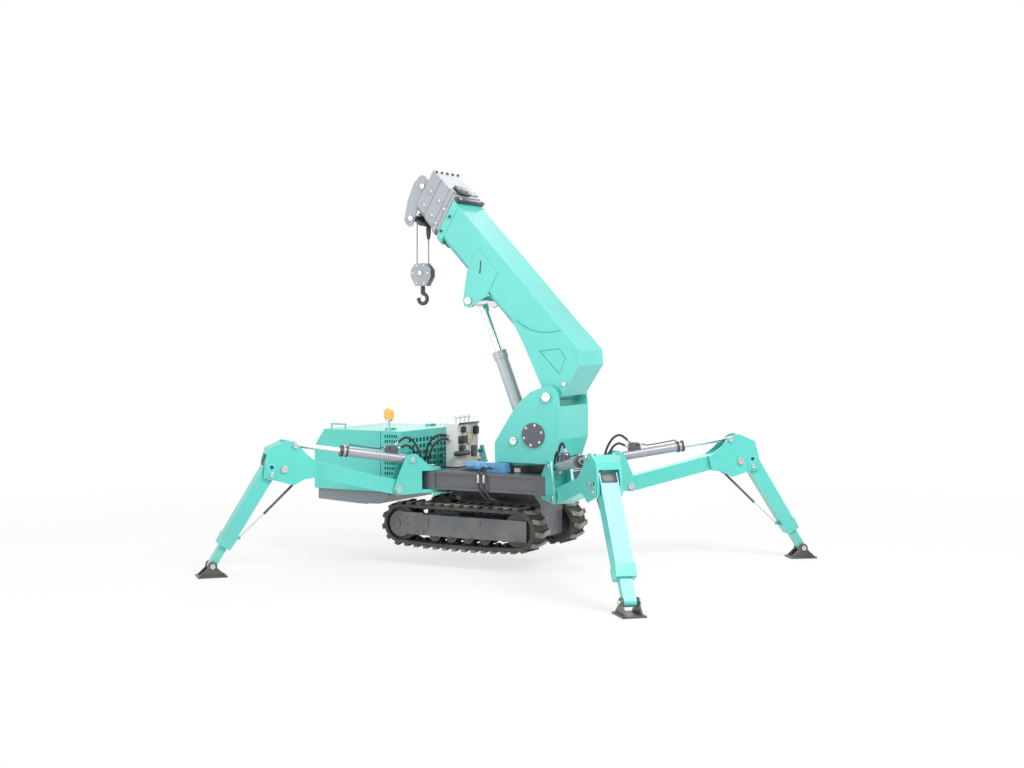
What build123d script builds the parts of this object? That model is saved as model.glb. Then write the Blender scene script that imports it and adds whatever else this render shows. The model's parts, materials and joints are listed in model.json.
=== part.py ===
"""Spider crane: narrow tracked chassis, slewing post, telescopic boom and four folding outriggers.

Millimetres, +Z up. +X is the end where the post stands, -X the engine end, and the machine is
modelled standing on its four outrigger feet with the tracks lifted, the boom raised over the
engine and the hook hanging.  The origin lies on the ground in the middle of the whole outline.
"""
from build123d import *
from math import atan2, cos, degrees, hypot, pi, radians, sin
import os

# Sizes: running gear
TRACK_OVERALL_WIDTH = 800.0
BELT_WIDTH = 210.0
BELT_THICKNESS = 20.0
LUG_HEIGHT = 20.0
LUG_LENGTH = 34.0
LUG_PITCH = 77.0
GUIDE_TOOTH_HEIGHT = 22.0
GUIDE_TOOTH_WIDTH = 46.0
TRACK_WHEEL_RADIUS = 117.0
TRACK_WHEEL_SPACING = 932.0
TRACK_REAR_WHEEL_X = -773.0
TRACK_WHEEL_Z = 291.0
TRACK_SAG = 14.0
RUNNING_GAP = 6.0
ROLLER_RADIUS = 45.0
ROLLER_COUNT = 4
SIDE_BEAM_DEPTH = 146.0
SIDE_PLATE = 12.0
SIDE_PLATE_INSET = 8.0
DRIVE_COVER_RADIUS = 90.0
DRIVE_COVER_FRONT_X = -545.0
AXLE_RADIUS = 22.0
SIDE_BEAM_FRONT_X = 235.0
SIDE_BEAM_HALF = 34.0
SIDE_BEAM_INNER_Z = (285.0, 363.0)
CROSS_TUBE_X = (-420.0, -130.0)

# Sizes: chassis
BEAM_TOP_Z = 675.0
BEAM_DEPTH = 125.0
BEAM_HALF_WIDTH = 70.0
BEAM_FLANGE = 14.0
BEAM_RECESS = 10.0
SWING_REAR_X = -558.0
SWING_FRONT_X = 400.0
CARBODY_X = (-430.0, 230.0)
CARBODY_BOTTOM_Z = 225.0
RAIL_Y = (150.0, 215.0)
RAIL_Z = (508.0, 568.0)
RING_RADIUS = 200.0
RING_BOTTOM_Z = 655.0
RING_SPLIT_Z = 722.0
RING_TOP_Z = 745.0
RING_BORE = 120.0
FACE_GAP = 0.4
MOTOR_PLACE = (-205.0, -245.0)
MOTOR_RISE = 57.0
MOTOR_RADIUS = 31.0
MOTOR_LENGTH = 190.0

# Sizes: engine end
HOUSING_REAR_X = -1516.0
HOUSING_FRONT_X = -760.0
HOUSING_SEAM_X = -937.0
HOUSING_BOTTOM_Z = 510.0
HOUSING_TOP_Z = 945.0
HOUSING_CHAMFER = (88.0, 128.0)
PANEL = 10.0
GRILLE_ROWS = 6
GRILLE_COLUMNS = 13
GRILLE_PITCH = (48.0, 46.0)
GRILLE_HOLE = (34.0, 30.0)
GRILLE_LOW_Z = 628.0
HANDLE_X = -1344.0
HANDLE_INSET = 60.0
HANDLE_RISE = 34.0
HANDLE_REACH = 60.0
HANDLE_ROD = 6.0
LOUVRE_X = -906.0
LOUVRE_Z = (632.0, 668.0, 704.0, 860.0, 896.0)
LOUVRE_COLUMNS = 6
LOUVRE_PITCH = 19.0
LOUVRE_SLOT = (12.0, 22.0)
SEAM_GAP = 6.0
HINGE_RADIUS = 9.0
HINGE_PIN_RADIUS = 4.0
HINGE_Y = 230.0
HINGE_LENGTH = 90.0
BELLY_INSET = 40.0
BELLY_DEPTH = 98.0
ENGINE_SIZE = (400.0, 400.0, 280.0)
ENGINE_CENTRE_X = -1215.0
CONSOLE_X = (-600.0, -505.0)
CONSOLE_Y = (-56.0, 241.0)
CONSOLE_TOP_Z = 985.0
CONSOLE_SEAT = 5.0
CONSOLE_FOOT = 3.0
LEVER_COUNT = 4
LEVER_PITCH = 60.0
LEVER_RISE = 40.0
LEVER_KNOB = 13.0
BEACON_X = -890.0
BEACON_RISE = 70.0
BEACON_ROD = 9.0
BEACON_BASE = (26.0, 16.0)
BEACON_LAMP = (36.0, 42.0)
BEACON_INSET = 35.0

# Sizes: post
POST_HALF_WIDTH = 228.0
POST_PLATE = 15.0
POST_FLOOR = 32.0
LUFF_PIVOT = (309.0, 1205.0)
LUFF_PIN_RADIUS = 28.0
CYLINDER_FOOT = (51.0, 895.0)
WINCH_CENTRE = (204.0, 939.0)
WINCH_COVER_RADIUS = 86.0
WINCH_DRUM_RADIUS = 62.0
WINCH_FLANGE_RADIUS = 84.0

# Sizes: boom, in its own frame (s along the boom from the luff pivot, t up from it)
BOOM_ELEVATION = 46.75
BOOM_WIDTH = 362.0
BOOM_TOP_T = 382.0
BOOM_DEPTH = 262.0
BOOM_BUTT_S = 85.0
BOOM_TIP_S = 1488.0
BOOM_WALL = 7.0
BOOM_PLAY = 7.0
SLIDE_PLAY = 0.3
SECTION_COUNT = 5
MOUTH_GUIDE = 92.0
COLLAR_LEAN = 0.30
COLLAR_SHELL = 14.0
BOOM_CHAMFER = 30.0
DOUBLER = 8.0
RECESS_DEPTH = 4.0
ROD_EYE_S = 925.0
ROD_EYE_T = -13.0
HEAD_SHEAVE = (1702.0, 37.0)
HEAD_SHEAVE_RADIUS = 48.0
HEAD_PLATE_Y = (138.0, 152.0)
TOP_SHEAVE = (1800.0, 262.0)
TOP_SHEAVE_RADIUS = 45.0
HEAD_PIN_RADIUS = 16.0
TOP_PIN_RADIUS = 14.0
ANCHOR_PIN_RADIUS = 8.0
ANCHOR_PIN = (1643.0, 41.0)
ANCHOR_CHEEK_Y = (16.0, 26.0)
ROPE_END_GAP = 24.0

# Sizes: luff cylinder
LUFF_BARREL_RADIUS = 46.0
LUFF_BARREL_LENGTH = 662.0
LUFF_ROD_RADIUS = 26.0
LUFF_EYE_RADIUS = 44.0
LUFF_EYE_PIN = 20.0
LUFF_EYE_GAP = 16.0
LUFF_NECK_LENGTH = 88.0
LUFF_NECK_RADIUS = 34.0
OPEN_PIN_GAP = 0.3

# Sizes: hook
FALL_SPREAD = 98.0
FALL_RADIUS = 5.0
HOOK_BLOCK_TOP_Z = 2150.0
HOOK_BLOCK_BOTTOM_Z = 1985.0
HOOK_BLOCK_WIDTH = 165.0
HOOK_BLOCK_THICKNESS = 70.0

# Sizes: outrigger, in its own frame (r out from the swing pin, y across, z up)
ARM_PIN = (255.0, 551.0)
BARREL_PIN = (158.0, 755.0)
ROD_PIN = (985.0, 880.0)
LEG_PIN = (1063.0, 720.0)
FOOT_PIN = (1550.0, 76.0)
LOCK_PIN = (1152.0, 684.0)
ARM_SLOPE = 14.0
ARM_DEPTH = 104.0
ARM_HALF_WIDTH = 52.0
CHEEK_Y = (60.0, 75.0)
KNUCKLE_Y = (66.0, 80.0)
LEG_HALF_WIDTH = 58.0
LEG_DEPTH = 102.0
LEG_LEAN = 31.5
LEG_OFFSET = 79.0
SWING_PIN_RADIUS = 24.0
ARM_PIN_RADIUS = 19.0
BARREL_PIN_RADIUS = 15.0
ROD_PIN_RADIUS = 14.0
LEG_PIN_RADIUS = 19.0
FOOT_PIN_RADIUS = 13.0
LIFT_BARREL_RADIUS = 34.0
LIFT_BARREL_LENGTH = 505.0
LIFT_ROD_RADIUS = 17.0
FOOT_SIZE = (196.0, 150.0)
FOOT_PLATE = 12.0
FOOT_EYE = 32.0
FOOT_CHEEK_Y = (46.0, 58.0)
NECK_HALF_WIDTH = 40.0
COLLAR_HALF_WIDTH = 64.0
PIN_PLAY = 0.05

# name, rear or front axis, side, bearing of the arm in degrees from +X
OUTRIGGERS = (
    ("rear_near", SWING_REAR_X, -1, 228.0),
    ("front_near", SWING_FRONT_X, -1, -46.0),
    ("front_far", SWING_FRONT_X, 1, 38.0),
    ("rear_far", SWING_REAR_X, 1, 132.0),
)

# Places worked out from the sizes
TRACK_OUTER_Y = TRACK_OVERALL_WIDTH / 2
HOUSING_HALF_WIDTH = TRACK_OUTER_Y
SWING_Y = TRACK_OUTER_Y - BEAM_HALF_WIDTH
BEACON_Y = BEACON_INSET - HOUSING_HALF_WIDTH
DOUBLER_Y = (BOOM_WIDTH / 2 - BOOM_WALL, BOOM_WIDTH / 2 + DOUBLER)
LUFF_EYE_HALF = DOUBLER_Y[0] - LUFF_EYE_GAP
BOOM_LOW_T = BOOM_TOP_T - BOOM_DEPTH
TRACK_MID_Y = TRACK_OUTER_Y - BELT_WIDTH / 2
TRACK_FRONT_WHEEL_X = TRACK_REAR_WHEEL_X + TRACK_WHEEL_SPACING
BEAM_BOTTOM_Z = BEAM_TOP_Z - BEAM_DEPTH
RISE = radians(BOOM_ELEVATION)
HEAD_SHEAVE_X = LUFF_PIVOT[0] - HEAD_SHEAVE[0] * cos(RISE) + HEAD_SHEAVE[1] * sin(RISE)
HEAD_SHEAVE_Z = LUFF_PIVOT[1] + HEAD_SHEAVE[0] * sin(RISE) + HEAD_SHEAVE[1] * cos(RISE)
HOOK_X = HEAD_SHEAVE_X - HEAD_SHEAVE_RADIUS + FALL_SPREAD / 2
HINGE_X = HOUSING_SEAM_X - SEAM_GAP / 2
HINGE_Z = HOUSING_TOP_Z + HINGE_RADIUS + 0.5
FOOT_X = [x + FOOT_PIN[0] * cos(radians(bearing)) for _, x, _, bearing in OUTRIGGERS]
ORIGIN_X = -(max(FOOT_X) + min(FOOT_X)) / 2


# Building blocks
def block(x, y, z):
    """Box between two corners, each given as a low and a high value along X, Y and Z."""
    size = (x[1] - x[0], y[1] - y[0], z[1] - z[0])
    return Pos((x[0] + x[1]) / 2, (y[0] + y[1]) / 2, (z[0] + z[1]) / 2) * Box(*size)


def profile(points, y):
    """Outline in the XZ plane, carried from y[0] to y[1]."""
    face = Plane.XZ * Polygon(*points, align=None)
    return extrude(Pos(0, y[0], 0) * face, y[1] - y[0], dir=(0, 1, 0))


def section(points, x):
    """Outline in the YZ plane, carried from x[0] to x[1]."""
    face = Plane.YZ * Polygon(*points, align=None)
    return extrude(Pos(x[0], 0, 0) * face, x[1] - x[0], dir=(1, 0, 0))


def across(centre, radius, y):
    """Round bar along Y, at (x, z), from y[0] to y[1]."""
    bar = Rot(90, 0, 0) * Cylinder(radius, y[1] - y[0])
    return Pos(centre[0], (y[0] + y[1]) / 2, centre[1]) * bar


def upright(x, y, radius, z):
    """Round bar along Z from z[0] to z[1]."""
    return Pos(x, y, (z[0] + z[1]) / 2) * Cylinder(radius, z[1] - z[0])


def along(start, end, radius, y=0.0):
    """Round bar between two (x, z) points of the plane at y."""
    length = hypot(end[0] - start[0], end[1] - start[1])
    tilt = degrees(atan2(end[0] - start[0], end[1] - start[1]))
    middle = ((start[0] + end[0]) / 2, (start[1] + end[1]) / 2)
    return Pos(middle[0], y, middle[1]) * Rot(0, tilt, 0) * Cylinder(radius, length)


def toward(start, end, distance):
    """The point that lies a distance from start on the way to end."""
    length = hypot(end[0] - start[0], end[1] - start[1])
    return (start[0] + (end[0] - start[0]) * distance / length, start[1] + (end[1] - start[1]) * distance / length)


def both_sides(shape):
    """The shape and its mirror image across the machine's middle plane."""
    return shape + mirror(shape, about=Plane.XZ)


def save(name, shape):
    """Writes one node, moved so that the origin is in the middle of the outline."""
    export_step(Pos(ORIGIN_X, 0, 0) * shape, f"parts/{name}.step")


# Tracks
def racetrack(radius, half_width, sag):
    """Loop outline around both wheels, its lower run hanging by the sag."""
    rear, front, z = TRACK_REAR_WHEEL_X, TRACK_FRONT_WHEEL_X, TRACK_WHEEL_Z
    middle = (rear + front) / 2
    low = z - radius
    edges = [
        Line((rear, z + radius), (front, z + radius)),
        ThreePointArc((front, z + radius), (front + radius, z), (front, low)),
        ThreePointArc((front, low), (middle, low - sag), (rear, low)),
        ThreePointArc((rear, low), (rear - radius, z), (rear, z + radius)),
    ]
    face = Plane.XZ * make_face(Wire(edges))
    return extrude(Pos(0, -half_width, 0) * face, 2 * half_width, dir=(0, 1, 0))


def loop_places(radius, pitch):
    """Points and outward bearings, in degrees, that divide the loop evenly."""
    straight = TRACK_WHEEL_SPACING
    length = 2 * straight + 2 * pi * radius
    count = round(length / pitch)
    places = []
    for index in range(count):
        run = index * length / count
        if run < straight:
            places.append((TRACK_REAR_WHEEL_X + run, TRACK_WHEEL_Z + radius, 90.0))
            continue
        run -= straight
        if run < pi * radius:
            turn = pi / 2 - run / radius
            places.append((TRACK_FRONT_WHEEL_X + radius * cos(turn), TRACK_WHEEL_Z + radius * sin(turn), degrees(turn)))
            continue
        run -= pi * radius
        if run < straight:
            share = run / straight
            drop = 4 * TRACK_SAG * share * (1 - share)
            places.append((TRACK_FRONT_WHEEL_X - run, TRACK_WHEEL_Z - radius - drop, -90.0))
            continue
        run -= straight
        turn = -pi / 2 - run / radius
        places.append((TRACK_REAR_WHEEL_X + radius * cos(turn), TRACK_WHEEL_Z + radius * sin(turn), degrees(turn)))
    return places


def track_belt():
    """One rubber track as a fixed loop with chevron lugs outside and guide teeth inside."""
    inner = TRACK_WHEEL_RADIUS
    outer = inner + BELT_THICKNESS
    belt = racetrack(outer, BELT_WIDTH / 2, TRACK_SAG) - racetrack(inner, BELT_WIDTH / 2 + 1, TRACK_SAG)
    half = BELT_WIDTH / 2
    sweep = 22.0
    lug_outline = [
        (-LUG_LENGTH / 2 - sweep / 2, -half), (LUG_LENGTH / 2 - sweep / 2, -half), (LUG_LENGTH / 2 + sweep / 2, 0),
        (LUG_LENGTH / 2 - sweep / 2, half), (-LUG_LENGTH / 2 - sweep / 2, half), (-LUG_LENGTH / 2 + sweep / 2, 0),
    ]
    bite = 3.0
    lug = extrude(Polygon(*lug_outline, align=None), LUG_HEIGHT + bite, dir=(0, 0, 1))
    tooth = block((-12, 12), (-GUIDE_TOOTH_WIDTH / 2, GUIDE_TOOTH_WIDTH / 2), (-GUIDE_TOOTH_HEIGHT, bite))
    pieces = []
    for x, z, bearing in loop_places(outer, LUG_PITCH):
        turn = 90 - bearing
        out_x, out_z = cos(radians(bearing)), sin(radians(bearing))
        pieces.append(Pos(x - bite * out_x, 0, z - bite * out_z) * Rot(0, turn, 0) * lug)
    for x, z, bearing in loop_places(inner, LUG_PITCH * inner / outer):
        pieces.append(Pos(x, 0, z) * Rot(0, 90 - bearing, 0) * tooth)
    return belt + pieces


def track_wheels(side):
    """Sprocket, idler and rollers of one track, on axles that end at the side plate."""
    rim = TRACK_WHEEL_RADIUS - GUIDE_TOOTH_HEIGHT - RUNNING_GAP
    tread = TRACK_WHEEL_RADIUS - 0.4
    slot = GUIDE_TOOTH_WIDTH / 2 + RUNNING_GAP
    width = BELT_WIDTH / 2 - 35
    wheels = []
    for x in (TRACK_REAR_WHEEL_X, TRACK_FRONT_WHEEL_X):
        wheel = across((x, TRACK_WHEEL_Z), tread, (-width, width)) - across((x, TRACK_WHEEL_Z), tread + 1, (-slot, slot))
        axle = sorted((side * -side_plate_y()[1], 0))
        wheels.append(wheel + across((x, TRACK_WHEEL_Z), rim, (-slot, slot)) + across((x, TRACK_WHEEL_Z), AXLE_RADIUS, axle))
    low = TRACK_WHEEL_Z - TRACK_WHEEL_RADIUS
    reach = TRACK_WHEEL_SPACING - 2 * TRACK_WHEEL_RADIUS - 160
    for index in range(ROLLER_COUNT):
        share = 0.5 + (index - (ROLLER_COUNT - 1) / 2) / ROLLER_COUNT
        x = TRACK_REAR_WHEEL_X + TRACK_WHEEL_RADIUS + 80 + reach * share
        centre = (x, low + ROLLER_RADIUS + 0.4)
        roller = across(centre, 18, sorted((side * -side_plate_y()[1], side * -width)))
        for low_y, high_y in ((-width, -slot), (slot, width)):
            roller += across(centre, ROLLER_RADIUS, (low_y, high_y))
        wheels.append(roller)
    return wheels


# Outriggers
def in_place(shape, axis_x, side, bearing):
    """An outrigger piece, from its own frame to the machine's."""
    return Pos(axis_x, side * SWING_Y, 0) * Rot(0, 0, bearing) * shape


def arm_point(distance, offset):
    """Point along the arm from its pin, with an offset square to it."""
    slope = radians(ARM_SLOPE)
    base = (ARM_PIN[0], ARM_PIN[1] + 12)
    return (base[0] + distance * cos(slope) - offset * sin(slope), base[1] + distance * sin(slope) + offset * cos(slope))


def leg_point(distance, offset):
    """Point down the leg from beside its pin, with an offset outwards from its middle line."""
    lean = radians(LEG_LEAN)
    start = (LEG_PIN[0] + LEG_OFFSET * cos(lean), LEG_PIN[1] + LEG_OFFSET * sin(lean))
    return (start[0] + distance * sin(lean) + offset * cos(lean), start[1] - distance * cos(lean) + offset * sin(lean))


# Outlines of the knuckle, from the leg's pin
KNUCKLE = [(-224, 42), (-149, 102), (-88, 177), (-11, 194), (105, 144), (133, 50), (141, -56), (9, -92), (-63, -114),
           (-134, -76), (-210, -64)]
KNUCKLE_BRIDGE = [(117, 102), (105, 144), (12, 184), (7, 172), (95, 134), (105, 102)]


def at_pin(outline):
    """Outline moved from the leg's pin into the outrigger's frame."""
    return [(LEG_PIN[0] + x, LEG_PIN[1] + z) for x, z in outline]


def bracket():
    """Swinging bracket: it grips the beam's round end and carries arm and cylinder."""
    web = (BEAM_HALF_WIDTH + 20, BEAM_HALF_WIDTH + 38)
    low, top = ARM_PIN[1] - 36, BEAM_TOP_Z + 3
    plate = 20.0
    grip = block((0, web[1]), (-CHEEK_Y[1], CHEEK_Y[1]), (top, top + plate)) + upright(0, 0, 66, (top, top + plate))
    under = BEAM_BOTTOM_Z - 3
    grip += block((0, web[1]), (-CHEEK_Y[1], CHEEK_Y[1]), (under - 24, under)) + upright(0, 0, 66, (under - 24, under))
    grip += block(web, (-CHEEK_Y[1], CHEEK_Y[1]), (under - 24, top + plate))
    outline = [
        (web[0], under - 24), (ARM_PIN[0] - 20, low), (ARM_PIN[0] + 15, low), (ARM_PIN[0] + 38, ARM_PIN[1]),
        (ARM_PIN[0] + 20, ARM_PIN[1] + 61), (BARREL_PIN[0] + 42, BARREL_PIN[1] + 37), (BARREL_PIN[0] - 24, BARREL_PIN[1] + 45),
        (15, top + plate), (15, top), (web[0], top),
    ]
    for side in (-1, 1):
        grip += profile(outline, sorted((side * CHEEK_Y[0], side * CHEEK_Y[1])))
    grip += upright(0, 0, SWING_PIN_RADIUS, (under - 24, top + plate + 12))
    reach = CHEEK_Y[1] + 8
    grip += across(ARM_PIN, ARM_PIN_RADIUS, (-reach, reach))
    grip += across(BARREL_PIN, BARREL_PIN_RADIUS, (-reach, reach))
    return grip


def arm():
    """Lifting arm with the knuckle plates that carry the leg and the rod's eye."""
    half = ARM_DEPTH / 2
    beam = [arm_point(34, -half), arm_point(34, half), arm_point(700, half), arm_point(700, -half)]
    solid = profile(beam, (-ARM_HALF_WIDTH, ARM_HALF_WIDTH))
    solid += across(ARM_PIN, 36, (-ARM_HALF_WIDTH, ARM_HALF_WIDTH))
    solid += profile([(ARM_PIN[0], ARM_PIN[1] - 36), (ARM_PIN[0], ARM_PIN[1] + 36), arm_point(60, half), arm_point(60, -half)],
                     (-ARM_HALF_WIDTH, ARM_HALF_WIDTH))
    head = [arm_point(600, -half), arm_point(600, half), arm_point(690, half), arm_point(690, -half)]
    solid += profile(head, (-KNUCKLE_Y[1], KNUCKLE_Y[1]))
    for side in (-1, 1):
        solid += profile(at_pin(KNUCKLE), sorted((side * KNUCKLE_Y[0], side * KNUCKLE_Y[1])))
    solid += profile(at_pin(KNUCKLE_BRIDGE), (-KNUCKLE_Y[1], KNUCKLE_Y[1]))
    reach = KNUCKLE_Y[1] + 9
    for side in (-1, 1):
        solid += across(ROD_PIN, ROD_PIN_RADIUS, sorted((side * KNUCKLE_Y[0], side * reach)))
    solid += across(LEG_PIN, LEG_PIN_RADIUS, (-reach, reach))
    for side in (-1, 1):
        solid += across(LOCK_PIN, 11, sorted((side * KNUCKLE_Y[0], side * (KNUCKLE_Y[1] + 14))))
    return solid - across(ARM_PIN, ARM_PIN_RADIUS + PIN_PLAY, (-200, 200))


def leg():
    """Folding leg: a box with an ear to its pin and a narrow end for the foot."""
    half = LEG_DEPTH / 2
    outline = [
        leg_point(-18, -20), leg_point(-36, 10), leg_point(-18, half), leg_point(600, half - 4),
        leg_point(655, 38), leg_point(655, -38), leg_point(600, -half + 6), leg_point(110, -half), leg_point(70, -half - 8),
        (LEG_PIN[0] - 8, LEG_PIN[1] - 50),
    ]
    solid = profile(outline, (-LEG_HALF_WIDTH, LEG_HALF_WIDTH))
    solid += across(LEG_PIN, 48, (-LEG_HALF_WIDTH, LEG_HALF_WIDTH))
    length = hypot(FOOT_PIN[0] - leg_point(0, 0)[0], FOOT_PIN[1] - leg_point(0, 0)[1])
    neck = [leg_point(640, 26), leg_point(length, 26), leg_point(length, -26), leg_point(640, -26)]
    width = (-NECK_HALF_WIDTH, NECK_HALF_WIDTH)
    solid += profile(neck, width) + across(FOOT_PIN, 26, width)
    collar = [leg_point(572, half + 3), leg_point(655, 47), leg_point(655, -45), leg_point(572, -half)]
    solid += profile(collar, (-COLLAR_HALF_WIDTH, COLLAR_HALF_WIDTH))
    for pin, radius in ((LEG_PIN, LEG_PIN_RADIUS), (FOOT_PIN, FOOT_PIN_RADIUS)):
        solid -= across(pin, radius + PIN_PLAY, (-200, 200))
    return solid


def foot():
    """Ground plate with a clevis and its pin."""
    x, z = FOOT_PIN
    half_length, half_width = FOOT_SIZE[0] / 2, FOOT_SIZE[1] / 2
    plate = block((x - half_length, x + half_length), (-half_width, half_width), (0, FOOT_PLATE))
    cheek = [(x - half_length + 8, FOOT_PLATE - 1), (x + half_length - 8, FOOT_PLATE - 1), (x + FOOT_EYE, z - 12), (x + FOOT_EYE, z),
             (x - FOOT_EYE, z), (x - FOOT_EYE, z - 12)]
    for side in (-1, 1):
        y = sorted((side * FOOT_CHEEK_Y[0], side * FOOT_CHEEK_Y[1]))
        plate += profile(cheek, y) + across(FOOT_PIN, FOOT_EYE, y)
    reach = FOOT_CHEEK_Y[1] + 8
    return plate + across(FOOT_PIN, FOOT_PIN_RADIUS, (-reach, reach))


def lift_barrel():
    """Outrigger cylinder's barrel with its eye and gland."""
    start = toward(BARREL_PIN, ROD_PIN, 34)
    end = toward(BARREL_PIN, ROD_PIN, LIFT_BARREL_LENGTH)
    gland = toward(BARREL_PIN, ROD_PIN, LIFT_BARREL_LENGTH - 46)
    solid = along(start, end, LIFT_BARREL_RADIUS) + along(gland, end, LIFT_BARREL_RADIUS + 5)
    solid += across(BARREL_PIN, 30, (-22, 22)) + along(BARREL_PIN, toward(BARREL_PIN, ROD_PIN, 60), 21)
    solid -= across(BARREL_PIN, BARREL_PIN_RADIUS + PIN_PLAY, (-60, 60))
    bore = along(toward(BARREL_PIN, ROD_PIN, 60), toward(BARREL_PIN, ROD_PIN, LIFT_BARREL_LENGTH + 5), LIFT_ROD_RADIUS + PIN_PLAY)
    return solid - bore


def lift_rod():
    """Outrigger cylinder's rod with its eye."""
    start = toward(BARREL_PIN, ROD_PIN, 330)
    solid = along(start, toward(BARREL_PIN, ROD_PIN, 812), LIFT_ROD_RADIUS) + across(ROD_PIN, 27, (-22, 22))
    reach = KNUCKLE_Y[0] - OPEN_PIN_GAP
    return solid + across(ROD_PIN, ROD_PIN_RADIUS, (-reach, reach))


# Boom
def boom_place(shape):
    """A boom piece, from the boom's frame to the machine's."""
    return Pos(LUFF_PIVOT[0], 0, LUFF_PIVOT[1]) * Rot(0, BOOM_ELEVATION, 0) * Rot(0, 0, 180) * shape


def boom_point(s, t):
    """Point of the boom's frame as (x, z) of the machine's."""
    return (LUFF_PIVOT[0] - s * cos(RISE) + t * sin(RISE), LUFF_PIVOT[1] + s * sin(RISE) + t * cos(RISE))


def boom_tube(index, start, end, grow=0.0):
    """Six-sided box of one boom section, solid, from start to end along the boom."""
    shrink = index * (BOOM_WALL + BOOM_PLAY) - grow
    half = BOOM_WIDTH / 2 - shrink
    top = BOOM_TOP_T - shrink
    low = BOOM_LOW_T + shrink
    cut = BOOM_CHAMFER
    outline = [(-half, low + cut), (-half, top), (half, top), (half, low + cut), (half - cut, low), (-half + cut, low)]
    return section(outline, (start, end))


# Collars, from the base section's to the innermost: how far each mouth stands before the base's, the collar's
# length, its side beyond the base's, its drop below and rise above the base section, and its pocket at the back
COLLARS = [
    (0, 56, 6, 30, 6, 0),
    (30, 24, 1, 2, 30, 0),
    (72, 36, -3, 28, 38, 0),
    (174, 96, -7, 12, 32, 82),
    (277, 97, -11, 8, 28, 83),
]


def lean(t):
    """How far a collar's leaning face stands forward at height t."""
    return (t - BOOM_TOP_T + BOOM_DEPTH / 2) * COLLAR_LEAN


def slice_of_boom(start, end):
    """All of the boom between two leaning planes, whose s is given at the boom's middle height."""
    top = 2 * BOOM_TOP_T
    corners = [(start + lean(0), 0), (end + lean(0), 0), (end + lean(top), top), (start + lean(top), top)]
    return profile(corners, (-BOOM_WIDTH, BOOM_WIDTH))


def mouth_of(index):
    """Where a section's mouth lies along the boom, at its middle height."""
    return BOOM_TIP_S + COLLARS[index][0]


def collar_tube(index, inset):
    """Solid six-sided bar of one collar, longer than the collar, its faces moved in by inset."""
    mouth, length, side, drop, rise = COLLARS[index][:5]
    half = BOOM_WIDTH / 2 + side - inset
    low, top = BOOM_LOW_T - drop + inset, BOOM_TOP_T + rise - inset
    cut = BOOM_CHAMFER
    outline = [(-half, low + cut), (-half, top), (half, top), (half, low + cut), (half - cut, low), (-half + cut, low)]
    return section(outline, (BOOM_TIP_S + mouth - length - BOOM_DEPTH, BOOM_TIP_S + mouth + BOOM_DEPTH))


def collar(index):
    """Leaning collar at a section's mouth, with a pocket that the collar behind it hides."""
    length, pocket = COLLARS[index][1], COLLARS[index][5]
    end = mouth_of(index)
    solid = collar_tube(index, 0) & slice_of_boom(end - length, end)
    if pocket:
        bar = boom_tube(index, end - 2 * BOOM_DEPTH, end + BOOM_DEPTH)
        solid -= (collar_tube(index, COLLAR_SHELL) & slice_of_boom(end - length - 1, end - length + pocket)) - bar
    return solid


def leaning_tube(index, start):
    """Solid bar of one section, from a square butt to its leaning mouth."""
    end = mouth_of(index)
    return boom_tube(index, start, end + BOOM_DEPTH) - slice_of_boom(end, end + 2 * BOOM_DEPTH)


def boom_section(index):
    """One telescopic section with the collar at its mouth; the innermost slides in the head's own collar."""
    start = BOOM_BUTT_S + 45 + 12 * index
    solid = leaning_tube(index, start)
    if index == SECTION_COUNT - 1:
        return solid - boom_tube(index, start - 1, mouth_of(index) + BOOM_DEPTH, -BOOM_WALL)
    solid += collar(index)
    solid -= boom_tube(index, start - 1, mouth_of(index) - MOUTH_GUIDE, -BOOM_WALL)
    return solid - boom_tube(index + 1, start - 1, mouth_of(index) + BOOM_DEPTH, SLIDE_PLAY)


# Outlines of the base section's side plates, as (s, t)
ROD_BRACKET = [(849, 118), (910, 290), (1137, 299), (1085, 118), (962, -40), (925, -62), (890, -46), (880, -10)]
BUTT_RECESS = [(286, 158), (192, 284), (112, 276), (64, 162)]
BUTT_ARC = ((543, 175), (372, 251), (272, 376))


def butt_face():
    """Side plate of the boom's foot, its front edge hollowed by an arc."""
    start, middle, end = [(s, 0, t) for s, t in BUTT_ARC]
    rim = [(272, BOOM_TOP_T), (BOOM_BUTT_S, BOOM_TOP_T), (3, 316), (-56, 71), (-52, 0), (0, -52), (70, -6), (397, 98), (583, 146)]
    edge = Polyline(end, *[(s, 0, t) for s, t in rim], start)
    return make_face([ThreePointArc(start, middle, end), *edge.edges()])


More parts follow.
